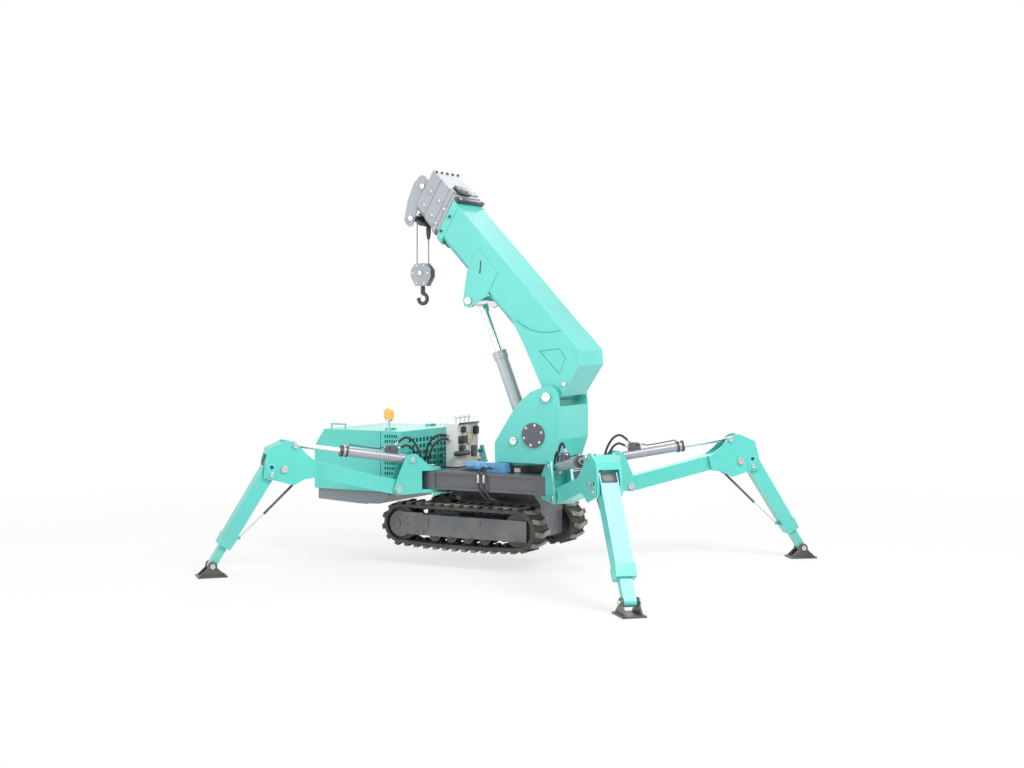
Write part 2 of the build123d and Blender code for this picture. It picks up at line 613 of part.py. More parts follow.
def boom_base():
    """Base section: tube, side plates down to the luff pivot, and the rod's bracket."""
    top, low = BOOM_TOP_T, BOOM_LOW_T
    solid = leaning_tube(0, BOOM_BUTT_S) + collar(0)
    solid -= boom_tube(0, BOOM_BUTT_S + 30, BOOM_TIP_S - MOUTH_GUIDE, -BOOM_WALL)
    solid -= boom_tube(1, BOOM_BUTT_S + 30, BOOM_TIP_S + BOOM_DEPTH, SLIDE_PLAY)
    half = BOOM_WIDTH / 2
    side_y = DOUBLER_Y
    for side in (-1, 1):
        solid += extrude(Pos(0, side * side_y[0], 0) * butt_face(), side_y[1] - side_y[0], dir=(0, side, 0))
        solid -= profile(BUTT_RECESS, sorted((side * (side_y[1] - RECESS_DEPTH), side * (side_y[1] + 1))))
    solid += profile([(BOOM_BUTT_S, top), (3, 316), (-56, 71), (-40, 71), (20, 316), (95, top - 7)], (-half, half))
    solid += block((BOOM_BUTT_S, BOOM_BUTT_S + 29), (-half, half), (low + BOOM_CHAMFER, top))
    for side in (-1, 1):
        solid += profile(ROD_BRACKET, sorted((side * side_y[0], side * side_y[1])))
        solid += across((ROD_EYE_S, ROD_EYE_T), LUFF_EYE_PIN, sorted((side * side_y[0], side * (side_y[1] + 10))))
    solid -= across((0, 0), LUFF_PIN_RADIUS + PIN_PLAY, (-400, 400))
    return solid


# Outline of the head's plates before the collar, as (s, t), from the front edge round to the underside
HEAD_PLATE = [(1847, 322), (1866, 312), (1873, 292), (1871, 225), (1817, 99), (1749, -2), (1738, -15), (1722, -22),
              (1690, -24), (1672, -18), (1660, 3)]
HEAD_SEAM_T = (112.0, 320.0)
# Outline of the rope anchor's cheeks below the head's collar
ANCHOR_CHEEK = [(1626, 90), (1620, 56), (1628, 32), (1645, 22), (1662, 32), (1668, 70), (1684, 90)]


def boom_head():
    """The head's collar round the innermost section, and the two plates before it with their pins."""
    index = SECTION_COUNT - 1
    front = mouth_of(index)
    solid = collar(index) - boom_tube(index, front - BOOM_DEPTH, front + BOOM_DEPTH, SLIDE_PLAY)
    low, high = HEAD_SEAM_T
    seam = [(front - COLLAR_SHELL / 2 + lean(t), t) for t in (low, high)]
    outline = [seam[0], seam[1], *HEAD_PLATE]
    for side in (-1, 1):
        solid += profile(outline, sorted((side * HEAD_PLATE_Y[0], side * HEAD_PLATE_Y[1])))
    solid += across(HEAD_SHEAVE, HEAD_PIN_RADIUS, (-HEAD_PLATE_Y[1] - 10, HEAD_PLATE_Y[1] + 10))
    solid += across(TOP_SHEAVE, TOP_PIN_RADIUS, (-HEAD_PLATE_Y[1] - 8, HEAD_PLATE_Y[1] + 8))
    return solid


def rope_anchor():
    """Two cheeks below the head's collar, with the pin that holds the rope's end."""
    seat = BOOM_LOW_T - COLLARS[-1][3] - FACE_GAP
    outline = [(ANCHOR_CHEEK[-1][0], seat), (ANCHOR_CHEEK[0][0], seat), *ANCHOR_CHEEK]
    solid = across(ANCHOR_PIN, ANCHOR_PIN_RADIUS, (-ANCHOR_CHEEK_Y[1] - 6, ANCHOR_CHEEK_Y[1] + 6))
    for side in (-1, 1):
        solid += profile(outline, sorted((side * ANCHOR_CHEEK_Y[0], side * ANCHOR_CHEEK_Y[1])))
    return solid


def sheaves():
    """The rope wheels between the head plates."""
    wheels = []
    for centre, radius, pin in ((HEAD_SHEAVE, HEAD_SHEAVE_RADIUS, HEAD_PIN_RADIUS), (TOP_SHEAVE, TOP_SHEAVE_RADIUS, TOP_PIN_RADIUS)):
        wheel = across(centre, radius, (-14, 14)) - across(centre, radius + 1, (-5, 5)) + across(centre, radius - 9, (-5, 5))
        wheel += across(centre, pin + 10, (-HEAD_PLATE_Y[0] + 1, HEAD_PLATE_Y[0] - 1))
        wheels.append(wheel - across(centre, pin + PIN_PLAY, (-200, 200)))
    return wheels


def luff_barrel():
    """Luff cylinder's barrel with its foot eye and gland."""
    foot_pin, eye_pin = CYLINDER_FOOT, boom_point(ROD_EYE_S, ROD_EYE_T)
    end = toward(foot_pin, eye_pin, LUFF_BARREL_LENGTH)
    solid = along(toward(foot_pin, eye_pin, 40), end, LUFF_BARREL_RADIUS)
    solid += along(toward(foot_pin, eye_pin, LUFF_BARREL_LENGTH - 54), end, LUFF_BARREL_RADIUS + 7)
    solid += across(foot_pin, 42, (-34, 34))
    solid -= across(foot_pin, LUFF_EYE_PIN + PIN_PLAY, (-100, 100))
    return solid - along(toward(foot_pin, eye_pin, 80), toward(foot_pin, eye_pin, LUFF_BARREL_LENGTH + 5), LUFF_ROD_RADIUS + PIN_PLAY)


def luff_rod():
    """Luff cylinder's rod with its eye."""
    foot_pin, eye_pin = CYLINDER_FOOT, boom_point(ROD_EYE_S, ROD_EYE_T)
    length = hypot(eye_pin[0] - foot_pin[0], eye_pin[1] - foot_pin[1])
    solid = along(toward(foot_pin, eye_pin, 430), toward(foot_pin, eye_pin, length - 30), LUFF_ROD_RADIUS)
    reach = DOUBLER_Y[0] - OPEN_PIN_GAP
    solid += across(eye_pin, LUFF_EYE_RADIUS, (-LUFF_EYE_HALF, LUFF_EYE_HALF))
    neck = toward(eye_pin, foot_pin, LUFF_NECK_LENGTH)
    solid += along(neck, eye_pin, LUFF_NECK_RADIUS)
    return solid + across(eye_pin, LUFF_EYE_PIN, (-reach, reach))


# Post
POST_OUTLINE = [(-100, 762), (-102, 881), (33, 1090), (100, 1172), (177, 1236), (274, 1274), (330, 1283), (370, 1266),
                (392, 1228), (401, 1143), (401, 915), (348, 762)]


def post():
    """Slewing post: base flange, floor, two side plates, end plate and their pins."""
    solid = upright(0, 0, RING_RADIUS - 6, (RING_SPLIT_Z + FACE_GAP, RING_TOP_Z)) - upright(0, 0, RING_BORE, (RING_BOTTOM_Z - 50, RING_TOP_Z + 50))
    solid += block((-100, 348), (-POST_HALF_WIDTH, POST_HALF_WIDTH), (RING_TOP_Z, RING_TOP_Z + POST_FLOOR))
    inner = POST_HALF_WIDTH - POST_PLATE
    for side in (-1, 1):
        solid += profile(POST_OUTLINE, sorted((side * inner, side * POST_HALF_WIDTH)))
    solid += profile([(386, 1143), (401, 1143), (401, 915), (348, 762), (330, 762), (386, 920)], (-POST_HALF_WIDTH, POST_HALF_WIDTH))
    reach = POST_HALF_WIDTH + 16
    solid += across(LUFF_PIVOT, LUFF_PIN_RADIUS, (-reach, reach))
    solid += across(CYLINDER_FOOT, LUFF_EYE_PIN, (-reach + 6, reach - 6))
    for side in (-1, 1):
        solid += across(LUFF_PIVOT, 44, sorted((side * (inner - 20), side * (POST_HALF_WIDTH + 6))))
    solid -= across(WINCH_CENTRE, WINCH_COVER_RADIUS - 16, (-400, 400))
    return solid


def winch():
    """Winch drum between the side plates, with its round covers."""
    inner = POST_HALF_WIDTH - POST_PLATE
    solid = across(WINCH_CENTRE, WINCH_DRUM_RADIUS, (-inner + 20, inner - 20))
    for side in (-1, 1):
        solid += across(WINCH_CENTRE, WINCH_FLANGE_RADIUS, sorted((side * (inner - 30), side * (inner - 18))))
        solid += across(WINCH_CENTRE, WINCH_COVER_RADIUS - 17, sorted((side * (inner - 30), side * (POST_HALF_WIDTH + 2))))
        solid += across(WINCH_CENTRE, WINCH_COVER_RADIUS, sorted((side * POST_HALF_WIDTH, side * (POST_HALF_WIDTH + 10))))
    return solid


# Chassis
def chassis_frame():
    """Two side beams with round ends, cross members, pedestal, carbody and rear rails."""
    y = (SWING_Y - BEAM_HALF_WIDTH, SWING_Y + BEAM_HALF_WIDTH)
    z = (BEAM_BOTTOM_Z, BEAM_TOP_Z)
    beam = block((SWING_REAR_X, SWING_FRONT_X), y, z)
    beam -= block((SWING_REAR_X + 70, SWING_FRONT_X - 70), (y[1] - BEAM_RECESS, y[1] + 1), (z[0] + BEAM_FLANGE, z[1] - BEAM_FLANGE))
    for x in (SWING_REAR_X, SWING_FRONT_X):
        beam += upright(x, SWING_Y, BEAM_HALF_WIDTH, z)
        beam -= upright(x, SWING_Y, SWING_PIN_RADIUS + PIN_PLAY, (z[0] - 10, z[1] + 10))
    solid = both_sides(beam)
    inside = (-y[0], y[0])
    solid += block((SWING_REAR_X - 10, SWING_REAR_X + 140), inside, (z[0] + 5, z[1] - CONSOLE_SEAT))
    solid += block((SWING_FRONT_X - 140, SWING_FRONT_X - 40), inside, (z[0] + 5, z[1] - 5))
    solid += block((-260, 240), inside, (z[0], RING_BOTTOM_Z))
    slope = [(-150, CARBODY_BOTTOM_Z), (150, CARBODY_BOTTOM_Z), (172, 455), (y[0] + 40, z[0] + 1), (-y[0] - 40, z[0] + 1), (-172, 455)]
    solid += section(slope, CARBODY_X)
    for side in (-1, 1):
        solid += block((HOUSING_REAR_X + 70, SWING_REAR_X + 60), sorted((side * RAIL_Y[0], side * RAIL_Y[1])), RAIL_Z)
    for x in (HOUSING_REAR_X + 70, HOUSING_SEAM_X - 60):
        solid += block((x, x + 50), (-RAIL_Y[0], RAIL_Y[0]), RAIL_Z)
    for x in CROSS_TUBE_X:
        solid += both_sides(block((x, x + 70), (140, TRACK_MID_Y - SIDE_BEAM_HALF), SIDE_BEAM_INNER_Z))
    return solid


def side_plate_y():
    """Outer plate of a track's side beam, from the belt's middle."""
    edge = BELT_WIDTH / 2 - SIDE_PLATE_INSET
    return (-edge, -edge + SIDE_PLATE)


def track_side_beam():
    """Beam inside the belt that carries the wheels, with the drive cover outside."""
    rear = TRACK_REAR_WHEEL_X + TRACK_WHEEL_RADIUS + 30
    plate = side_plate_y()
    low, high = SIDE_BEAM_INNER_Z[1] - SIDE_BEAM_DEPTH, SIDE_BEAM_INNER_Z[1]
    solid = block((rear, TRACK_FRONT_WHEEL_X - TRACK_WHEEL_RADIUS - 30), (plate[0] + 1, SIDE_BEAM_HALF), SIDE_BEAM_INNER_Z)
    solid += block((TRACK_REAR_WHEEL_X + 60, SIDE_BEAM_FRONT_X), plate, (low, high))
    cover = (plate[0] - 6, plate[1])
    solid += across((TRACK_REAR_WHEEL_X, TRACK_WHEEL_Z), DRIVE_COVER_RADIUS, cover)
    solid += block((TRACK_REAR_WHEEL_X, DRIVE_COVER_FRONT_X - 40), cover, (TRACK_WHEEL_Z - 66, TRACK_WHEEL_Z + 84))
    solid += block((DRIVE_COVER_FRONT_X - 41, DRIVE_COVER_FRONT_X), cover, (TRACK_WHEEL_Z - 40, TRACK_WHEEL_Z + 64))
    return solid


def slewing_ring():
    """Fixed ring under the post."""
    solid = upright(0, 0, RING_RADIUS, (RING_BOTTOM_Z, RING_SPLIT_Z))
    return solid - upright(0, 0, RING_BORE, (RING_BOTTOM_Z - 50, RING_TOP_Z + 50))


def slew_drive():
    """Worm housing and motor that turn the post."""
    x, y = MOTOR_PLACE
    motor = Pos(x, y, RING_BOTTOM_Z + MOTOR_RISE) * Rot(0, 90, 0) * Cylinder(MOTOR_RADIUS, MOTOR_LENGTH)
    low, top = max(BEAM_TOP_Z, RING_BOTTOM_Z) + 1, RING_BOTTOM_Z + MOTOR_RISE + 30
    body = block((x + 75, x + 215), (y - 45, y + 95), (low, top))
    foot_block = block((x + 95, x + 185), (y - 40, y + 30), (BEAM_TOP_Z, low + 1))
    return motor + body + foot_block - upright(0, 0, RING_RADIUS + FACE_GAP, (RING_BOTTOM_Z - 50, RING_TOP_Z + 50))


# Engine end
def front_enclosure():
    """Fixed front part of the housing, with its grilles."""
    outer = block((HOUSING_SEAM_X, HOUSING_FRONT_X), (-HOUSING_HALF_WIDTH, HOUSING_HALF_WIDTH), (HOUSING_BOTTOM_Z, HOUSING_TOP_Z))
    inside = HOUSING_HALF_WIDTH - PANEL
    solid = outer - block((HOUSING_SEAM_X - 1, HOUSING_FRONT_X - PANEL), (-inside, inside), (HOUSING_BOTTOM_Z - 1, HOUSING_TOP_Z - PANEL))
    cuts = [
        block((HOUSING_SEAM_X - 20, HOUSING_FRONT_X + 5), sorted((side * (RAIL_Y[0] - 0.3), side * (RAIL_Y[1] + 0.3))),
              (HOUSING_BOTTOM_Z - 1, RAIL_Z[1]))
        for side in (-1, 1)
    ]
    for row in range(GRILLE_ROWS):
        low = GRILLE_LOW_Z + row * GRILLE_PITCH[1]
        for column in range(GRILLE_COLUMNS):
            middle = (column - (GRILLE_COLUMNS - 1) / 2) * GRILLE_PITCH[0]
            y = (middle - GRILLE_HOLE[0] / 2, middle + GRILLE_HOLE[0] / 2)
            cuts.append(block((HOUSING_FRONT_X - 2 * PANEL, HOUSING_FRONT_X + 5), y, (low, low + GRILLE_HOLE[1])))
    for z in LOUVRE_Z:
        for column in range(LOUVRE_COLUMNS):
            x = LOUVRE_X + column * LOUVRE_PITCH
            cuts.append(block((x, x + LOUVRE_SLOT[0]), (-HOUSING_HALF_WIDTH - 1, HOUSING_HALF_WIDTH + 1), (z, z + LOUVRE_SLOT[1])))
    solid -= cuts
    for side in (-1, 1):
        for y in (HINGE_Y, HINGE_Y + HINGE_LENGTH - 20):
            solid += hinge_lug(HOUSING_SEAM_X + 24, HINGE_X, sorted((side * y, side * (y + 20))))
        solid += across((HINGE_X, HINGE_Z), HINGE_PIN_RADIUS, sorted((side * HINGE_Y, side * (HINGE_Y + HINGE_LENGTH))))
    return solid


def hinge_lug(root_x, tip_x, y):
    """One knuckle of the hood's hinge, on the roof, reaching from its root to the pin."""
    x = sorted((root_x, tip_x))
    return across((HINGE_X, HINGE_Z), HINGE_RADIUS, y) + block(x, y, (HOUSING_TOP_Z, HINGE_Z + HINGE_RADIUS - 4))


def hood():
    """Tilting rear cover: top, sides and back with the sloped rear edge."""
    rear, front = HOUSING_REAR_X, HOUSING_SEAM_X - SEAM_GAP
    drop_x, drop_z = HOUSING_CHAMFER
    low, top, half = HOUSING_BOTTOM_Z, HOUSING_TOP_Z, HOUSING_HALF_WIDTH
    solid = profile([(rear, low), (rear, top - drop_z), (rear + drop_x, top), (front, top), (front, low)], (-half, half))
    p = PANEL
    inner = [(rear + p, low - 1), (rear + p, top - drop_z - 3), (rear + drop_x + 5, top - p), (front + 1, top - p), (front + 1, low - 1)]
    solid -= profile(inner, (-half + p, half - p))
    for side in (-1, 1):
        y = sorted((side * (HINGE_Y + 20.5), side * (HINGE_Y + HINGE_LENGTH - 20.5)))
        solid += hinge_lug(front - 24, HINGE_X, y)
        solid -= across((HINGE_X, HINGE_Z), HINGE_PIN_RADIUS + PIN_PLAY, y)
    y = HANDLE_INSET - half
    for x in (HANDLE_X - HANDLE_REACH, HANDLE_X + HANDLE_REACH):
        solid += upright(x, y, HANDLE_ROD, (top - 2, top + HANDLE_RISE))
    return solid + Pos(HANDLE_X, y, top + HANDLE_RISE) * Rot(0, 90, 0) * Cylinder(HANDLE_ROD, 2 * (HANDLE_REACH + HANDLE_ROD))


def belly():
    """Grey guard below the engine."""
    top = HOUSING_BOTTOM_Z - 2
    low = top - BELLY_DEPTH
    front = HOUSING_SEAM_X + 33
    points = [(HOUSING_REAR_X + 6, low + 18), (HOUSING_REAR_X + 6, top), (front, top), (front, top - 26), (front - 77, low + 6), (-1148, low)]
    half = HOUSING_HALF_WIDTH - BELLY_INSET
    return profile(points, (-half, half))


def engine():
    """Engine as one plain block on the rails."""
    length, width, height = ENGINE_SIZE
    x = (ENGINE_CENTRE_X - length / 2, ENGINE_CENTRE_X + length / 2)
    return block(x, (-width / 2, width / 2), (RAIL_Z[1], RAIL_Z[1] + height))


def console():
    """Operator's control box on a foot."""
    low = BEAM_TOP_Z + CONSOLE_FOOT
    solid = block(CONSOLE_X, CONSOLE_Y, (low, CONSOLE_TOP_Z))
    solid += block((CONSOLE_X[0] + 20, CONSOLE_X[1] - 20), (CONSOLE_Y[0] + 70, CONSOLE_Y[1] - 70), (BEAM_TOP_Z - CONSOLE_SEAT, low + 2))
    for number in range(LEVER_COUNT):
        x, y = CONSOLE_X[0] + 50, CONSOLE_Y[0] + 56 + number * LEVER_PITCH
        solid += upright(x, y, 6, (CONSOLE_TOP_Z - 1, CONSOLE_TOP_Z + LEVER_RISE))
        solid += Pos(x, y, CONSOLE_TOP_Z + LEVER_RISE + 6) * Sphere(LEVER_KNOB)
    return solid


def beacon():
    """Warning lamp on its stem."""
    low = HOUSING_TOP_Z + BEACON_RISE + BEACON_BASE[1]
    top = low + BEACON_LAMP[1]
    return upright(BEACON_X, BEACON_Y, BEACON_LAMP[0], (low, top)) + Pos(BEACON_X, BEACON_Y, top) * Sphere(BEACON_LAMP[0])


def beacon_stem():
    """Stem of the warning lamp."""
    low = HOUSING_TOP_Z
    seat = low + BEACON_RISE
    return upright(BEACON_X, BEACON_Y, BEACON_ROD, (low, seat)) + upright(BEACON_X, BEACON_Y, BEACON_BASE[0], (seat, seat + BEACON_BASE[1]))


# Hook
def hook_block():
    """Hook block's two cheek plates, its sheave and the swivel's cross head."""
    x, top, low = HOOK_X, HOOK_BLOCK_TOP_Z, HOOK_BLOCK_BOTTOM_Z
    half, thick = HOOK_BLOCK_WIDTH / 2, HOOK_BLOCK_THICKNESS / 2
    outline = [(x - 42, top), (x + 42, top), (x + half, top - 46), (x + half, top - 100), (x + 44, low), (x - 44, low),
               (x - half, top - 100), (x - half, top - 46)]
    solid = profile(outline, (-thick, -thick + 12)) + profile(outline, (thick - 12, thick))
    solid += across((x, top - 70), 14, (-thick - 6, thick + 6))
    solid += across((x, top - 70), FALL_SPREAD / 2 - FALL_RADIUS - 0.3, (-14, 14))
    solid += block((x - 30, x + 30), (-thick + 1, thick - 1), (low, low + 34))
    return solid - upright(x, 0, 12 + PIN_PLAY, (low - 10, low + 60))


def hook():
    """Hook on its shank."""
    x, low = HOOK_X, HOOK_BLOCK_BOTTOM_Z
    solid = upright(x, 0, 12, (low - 40, low + 33.6))
    centre_z = low - 92
    ring = Rot(90, 0, 0) * Torus(36, 14)
    mouth = block((x - 70, x), (-30, 30), (centre_z + 4, centre_z + 70))
    solid += (Pos(x, 0, centre_z) * ring) - mouth
    solid += upright(x, 0, 17, (low - 60, low - 4))
    return solid


def falls():
    """Two rope falls from the head to the hook block."""
    tops = (HEAD_SHEAVE_Z, boom_point(*ANCHOR_PIN)[1] - ROPE_END_GAP)
    bars = []
    for side, top in zip((-1, 1), tops):
        bars.append(upright(HOOK_X + side * FALL_SPREAD / 2, 0, FALL_RADIUS, (HOOK_BLOCK_TOP_Z - 70, top)))
    return bars


def main():
    os.makedirs("parts", exist_ok=True)

    # Tracks
    for name, side in (("near", -1), ("far", 1)):
        middle = Pos(0, side * TRACK_MID_Y, 0)
        save(f"track_{name}", middle * track_belt())
        save(f"track_wheels_{name}", middle * Compound(children=track_wheels(side)))
        beam = track_side_beam()
        save(f"track_beam_{name}", middle * (beam if side < 0 else mirror(beam, about=Plane.XZ)))

    # Chassis
    save("chassis_frame", chassis_frame())
    save("slewing_ring", slewing_ring())
    save("slew_drive", slew_drive())
    save("front_enclosure", front_enclosure())
    save("belly_guard", belly())
    save("engine_block", engine())
    save("console", console())
    save("beacon_stem", beacon_stem())
    save("beacon_lamp", beacon())
    save("engine_hood", hood())

    # Crane
    save("post", post())
    save("winch", winch())
    save("boom_base", boom_place(boom_base()))
    for index in range(1, SECTION_COUNT):
        save(f"boom_section_{index + 1}", boom_place(boom_section(index)))
    save("boom_head", boom_place(boom_head()))
    save("rope_anchor", boom_place(rope_anchor()))
    save("head_sheaves", boom_place(Compound(children=sheaves())))
    save("luff_barrel", luff_barrel())
    save("luff_rod", luff_rod())
    save("rope_falls", Compound(children=falls()))
    save("hook_block", hook_block())
    save("hook", hook())

    # Outriggers
    pieces = {"bracket": bracket(), "arm": arm(), "leg": leg(), "foot": foot(), "lift_barrel": lift_barrel(), "lift_rod": lift_rod()}
    for place, axis_x, side, bearing in OUTRIGGERS:
        for piece, shape in pieces.items():
            save(f"{place}_{piece}", in_place(shape, axis_x, side, bearing))


if __name__ == "__main__":
    main()
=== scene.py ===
# %% [markdown]
# # Dressing a spider crane
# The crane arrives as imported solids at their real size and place, and this notebook gives it its looks:
# paint, rubber, steel, bolts, hoses and the small plates that a stranger would miss at once. Nothing of
# the frame is moved. Everything is in metres, Z is up, and the origin is on the ground between the feet.

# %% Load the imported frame
import json
from math import cos, hypot, pi, radians, sin

import bpy
from mathutils import Matrix, Vector


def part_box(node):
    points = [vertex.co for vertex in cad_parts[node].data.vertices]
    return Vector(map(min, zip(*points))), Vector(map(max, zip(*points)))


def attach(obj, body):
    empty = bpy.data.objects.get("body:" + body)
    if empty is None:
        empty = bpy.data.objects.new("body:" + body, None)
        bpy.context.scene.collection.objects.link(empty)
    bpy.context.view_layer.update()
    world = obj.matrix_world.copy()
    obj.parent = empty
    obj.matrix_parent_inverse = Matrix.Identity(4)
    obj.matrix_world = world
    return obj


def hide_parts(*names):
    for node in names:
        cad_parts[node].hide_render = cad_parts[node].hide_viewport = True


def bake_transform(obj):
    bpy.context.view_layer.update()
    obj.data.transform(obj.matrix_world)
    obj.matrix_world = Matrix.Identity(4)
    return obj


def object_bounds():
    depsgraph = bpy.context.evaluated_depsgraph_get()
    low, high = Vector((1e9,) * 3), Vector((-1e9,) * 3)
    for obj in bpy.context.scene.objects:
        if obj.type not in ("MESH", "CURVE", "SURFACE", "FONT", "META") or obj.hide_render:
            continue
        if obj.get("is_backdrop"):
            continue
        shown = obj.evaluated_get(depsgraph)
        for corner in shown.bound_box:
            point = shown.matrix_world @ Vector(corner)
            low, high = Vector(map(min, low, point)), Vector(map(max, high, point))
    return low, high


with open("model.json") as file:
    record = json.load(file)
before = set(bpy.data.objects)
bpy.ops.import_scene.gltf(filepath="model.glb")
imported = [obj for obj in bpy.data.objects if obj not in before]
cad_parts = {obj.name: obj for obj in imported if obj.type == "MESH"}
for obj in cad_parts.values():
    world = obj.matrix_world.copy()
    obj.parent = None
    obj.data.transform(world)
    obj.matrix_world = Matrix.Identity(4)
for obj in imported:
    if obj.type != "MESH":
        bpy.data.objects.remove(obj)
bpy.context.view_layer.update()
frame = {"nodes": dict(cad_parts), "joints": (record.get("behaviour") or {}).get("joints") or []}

pins = {joint["name"]: Vector(joint["pos_m"]) for joint in frame["joints"] if "pos_m" in joint}
axes = {joint["name"]: Vector(joint["axis"]) for joint in frame["joints"]}
LEGS = [name[: -len("_leg_fold")] for name in pins if name.endswith("_leg_fold")]
print("outriggers:", LEGS)

# %% [markdown]
# ## Camera
# The photograph was taken from the crane's near side, a little towards the post end, from about the
# height of a standing person's eyes. The lens is long, so the machine shows little perspective. The
# numbers come from lining up known points of the machine with the picture.

# %% Camera at the photograph's angle
SENSOR = 0.036
FRAME_WIDTH = 1024
FOCAL_IN_PIXELS = 1567.754
CAMERA_PLACE = Vector((5.2112, -9.771, 1.682))
CAMERA_YAW = 0.498
CAMERA_PITCH = -0.036

camera_data = bpy.data.cameras.new("camera")
camera_data.sensor_width = SENSOR * 1000
camera_data.lens = FOCAL_IN_PIXELS / FRAME_WIDTH * SENSOR * 1000
camera_data.clip_end = 200
camera = bpy.data.objects.new("camera", camera_data)
camera.location = CAMERA_PLACE
camera.rotation_euler = (pi / 2 + CAMERA_PITCH, 0, CAMERA_YAW)
bpy.context.scene.collection.objects.link(camera)
bpy.context.scene.camera = camera
print("lens", round(camera_data.lens, 1), "mm")

# %% [markdown]
# ## Shader maths in plain Python
# A material is a small calculation at each point of a surface. Wrapping a socket in a class lets that
# calculation be written as an expression, and each operator adds its own Math node.

# %% A socket as a number
class Wire:
    """An output socket of a finish, used like a number."""

    def __init__(self, finish, socket):
        self.finish = finish
        self.socket = socket

    def maths(self, operation, first, second):
        return self.finish.node("ShaderNodeMath", {"operation": operation}, first, second)

    def __add__(self, other):
        return self.maths("ADD", self, other)

    def __sub__(self, other):
        return self.maths("SUBTRACT", self, other)

    def __rsub__(self, other):
        return self.maths("SUBTRACT", other, self)

    def __mul__(self, other):
        return self.maths("MULTIPLY", self, other)

    def __pow__(self, other):
        return self.maths("POWER", self, other)

    __radd__ = __add__
    __rmul__ = __mul__

    def between(self, low, high):
        """0 at low, 1 at high and straight between them."""
        return self.finish.node("ShaderNodeMapRange", {"clamp": True}, self, low, high, 0.0, 1.0)


print("operators of a wire: + - * **")


# %% A material and its nodes
class Finish:
    """One material: its Principled shader and the nodes that feed it."""

    def __init__(self, name):
        self.material = bpy.data.materials.new(name)
        self.material.use_nodes = True
        self.tree = self.material.node_tree
        self.shader = self.tree.nodes["Principled BSDF"]
        self.place = self.node("ShaderNodeTexCoord", {}, out="Object")

    def feed(self, socket, value):
        if isinstance(value, Wire):
            self.tree.links.new(value.socket, socket)
        else:
            socket.default_value = value

    def node(self, kind, settings, *values, out=0, **named):
        made = self.tree.nodes.new(kind)
        for setting, value in settings.items():
            setattr(made, setting, value)
        for socket, value in zip(made.inputs, values):
            self.feed(socket, value)
        for name, value in named.items():
            self.feed(made.inputs[name], value)
        return Wire(self, made.outputs[out])

    def noise(self, scale, detail=3.0, stretch=None):
        """Cloudy value from 0 to 1, with that many clouds to a metre."""
        place = self.place
        if stretch:
            place = self.node("ShaderNodeVectorMath", {"operation": "MULTIPLY"}, place, stretch)
        return self.node("ShaderNodeTexNoise", {}, Vector=place, Scale=scale, Detail=detail, out="Fac")

    def mix(self, share, first, second):
        """Colour between first, at 0, and second, at 1."""
        made = self.tree.nodes.new("ShaderNodeMix")
        made.data_type = "RGBA"
        for index, value in ((0, share), (6, first), (7, second)):
            self.feed(made.inputs[index], value)
        return Wire(self, made.outputs[2])

    def height(self):
        """Height above the ground in metres."""
        return self.node("ShaderNodeSeparateXYZ", {}, self.place, out="Z")

    def edges(self, width):
        """1 along sharp edges, found where a rounded normal leaves the face's own."""
        rounded = self.node("ShaderNodeBevel", {"samples": 4}, width, out="Normal")
        flat = self.node("ShaderNodeNewGeometry", {}, out="Normal")
        likeness = self.node("ShaderNodeVectorMath", {"operation": "DOT_PRODUCT"}, rounded, flat, out="Value")
        return likeness.between(0.995, 0.90)

    def bump(self, height, depth, strength=1.0):
        return self.node("ShaderNodeBump", {}, Strength=strength, Distance=depth, Height=height)

    def show(self, **sockets):
        """Feeds the shader's sockets, an underscore standing for a space, and hands back the material."""
        for name, value in sockets.items():
            self.feed(self.shader.inputs[name.replace("_", " ")], value)
        return self.material


def shade(colour, factor):
    """The colour made darker or lighter, with its alpha kept."""
    return tuple(min(1.0, part * factor) for part in colour[:3]) + (1.0,)


print("a tenth darker than white:", shade((1.0, 1.0, 1.0), 0.9))

# %% [markdown]
# ## Paint
# Nearly everything here is sprayed steel. Such paint has soft clouding from spraying, an orange-peel skin,
# edges that are lighter from wear and from a painted highlight, a few chips down to the primer, and dust
# that thickens towards the ground. An image could carry all that, but noise nodes need no image and fit
# every piece. Colours are written in linear light, which is what shaders add and multiply.

# %% Colours
TEAL = (0.105, 0.61, 0.54, 1.0)
BOOM_GREY = (0.24, 0.26, 0.29, 1.0)
HEAD_GREY = (0.35, 0.38, 0.42, 1.0)
BARREL_GREY = (0.37, 0.38, 0.42, 1.0)
# Paler than the other barrels: partly the luff barrel's own silver, partly painted light against its shade.
LUFF_SILVER_AND_LIGHT = (0.56, 0.58, 0.62, 1.0)
BEAM_GREY = (0.085, 0.09, 0.105, 1.0)
BLACK_PAINT = (0.022, 0.023, 0.026, 1.0)
MOTOR_BLUE = (0.10, 0.36, 0.66, 1.0)
PANEL_WHITE = (0.74, 0.76, 0.74, 1.0)
DUST = (0.36, 0.32, 0.26, 1.0)
PRIMER = (0.42, 0.45, 0.45, 1.0)
CHIPS = 0.5
DUST_TOP = 0.75
print("teal as red, green and blue:", TEAL[:3])


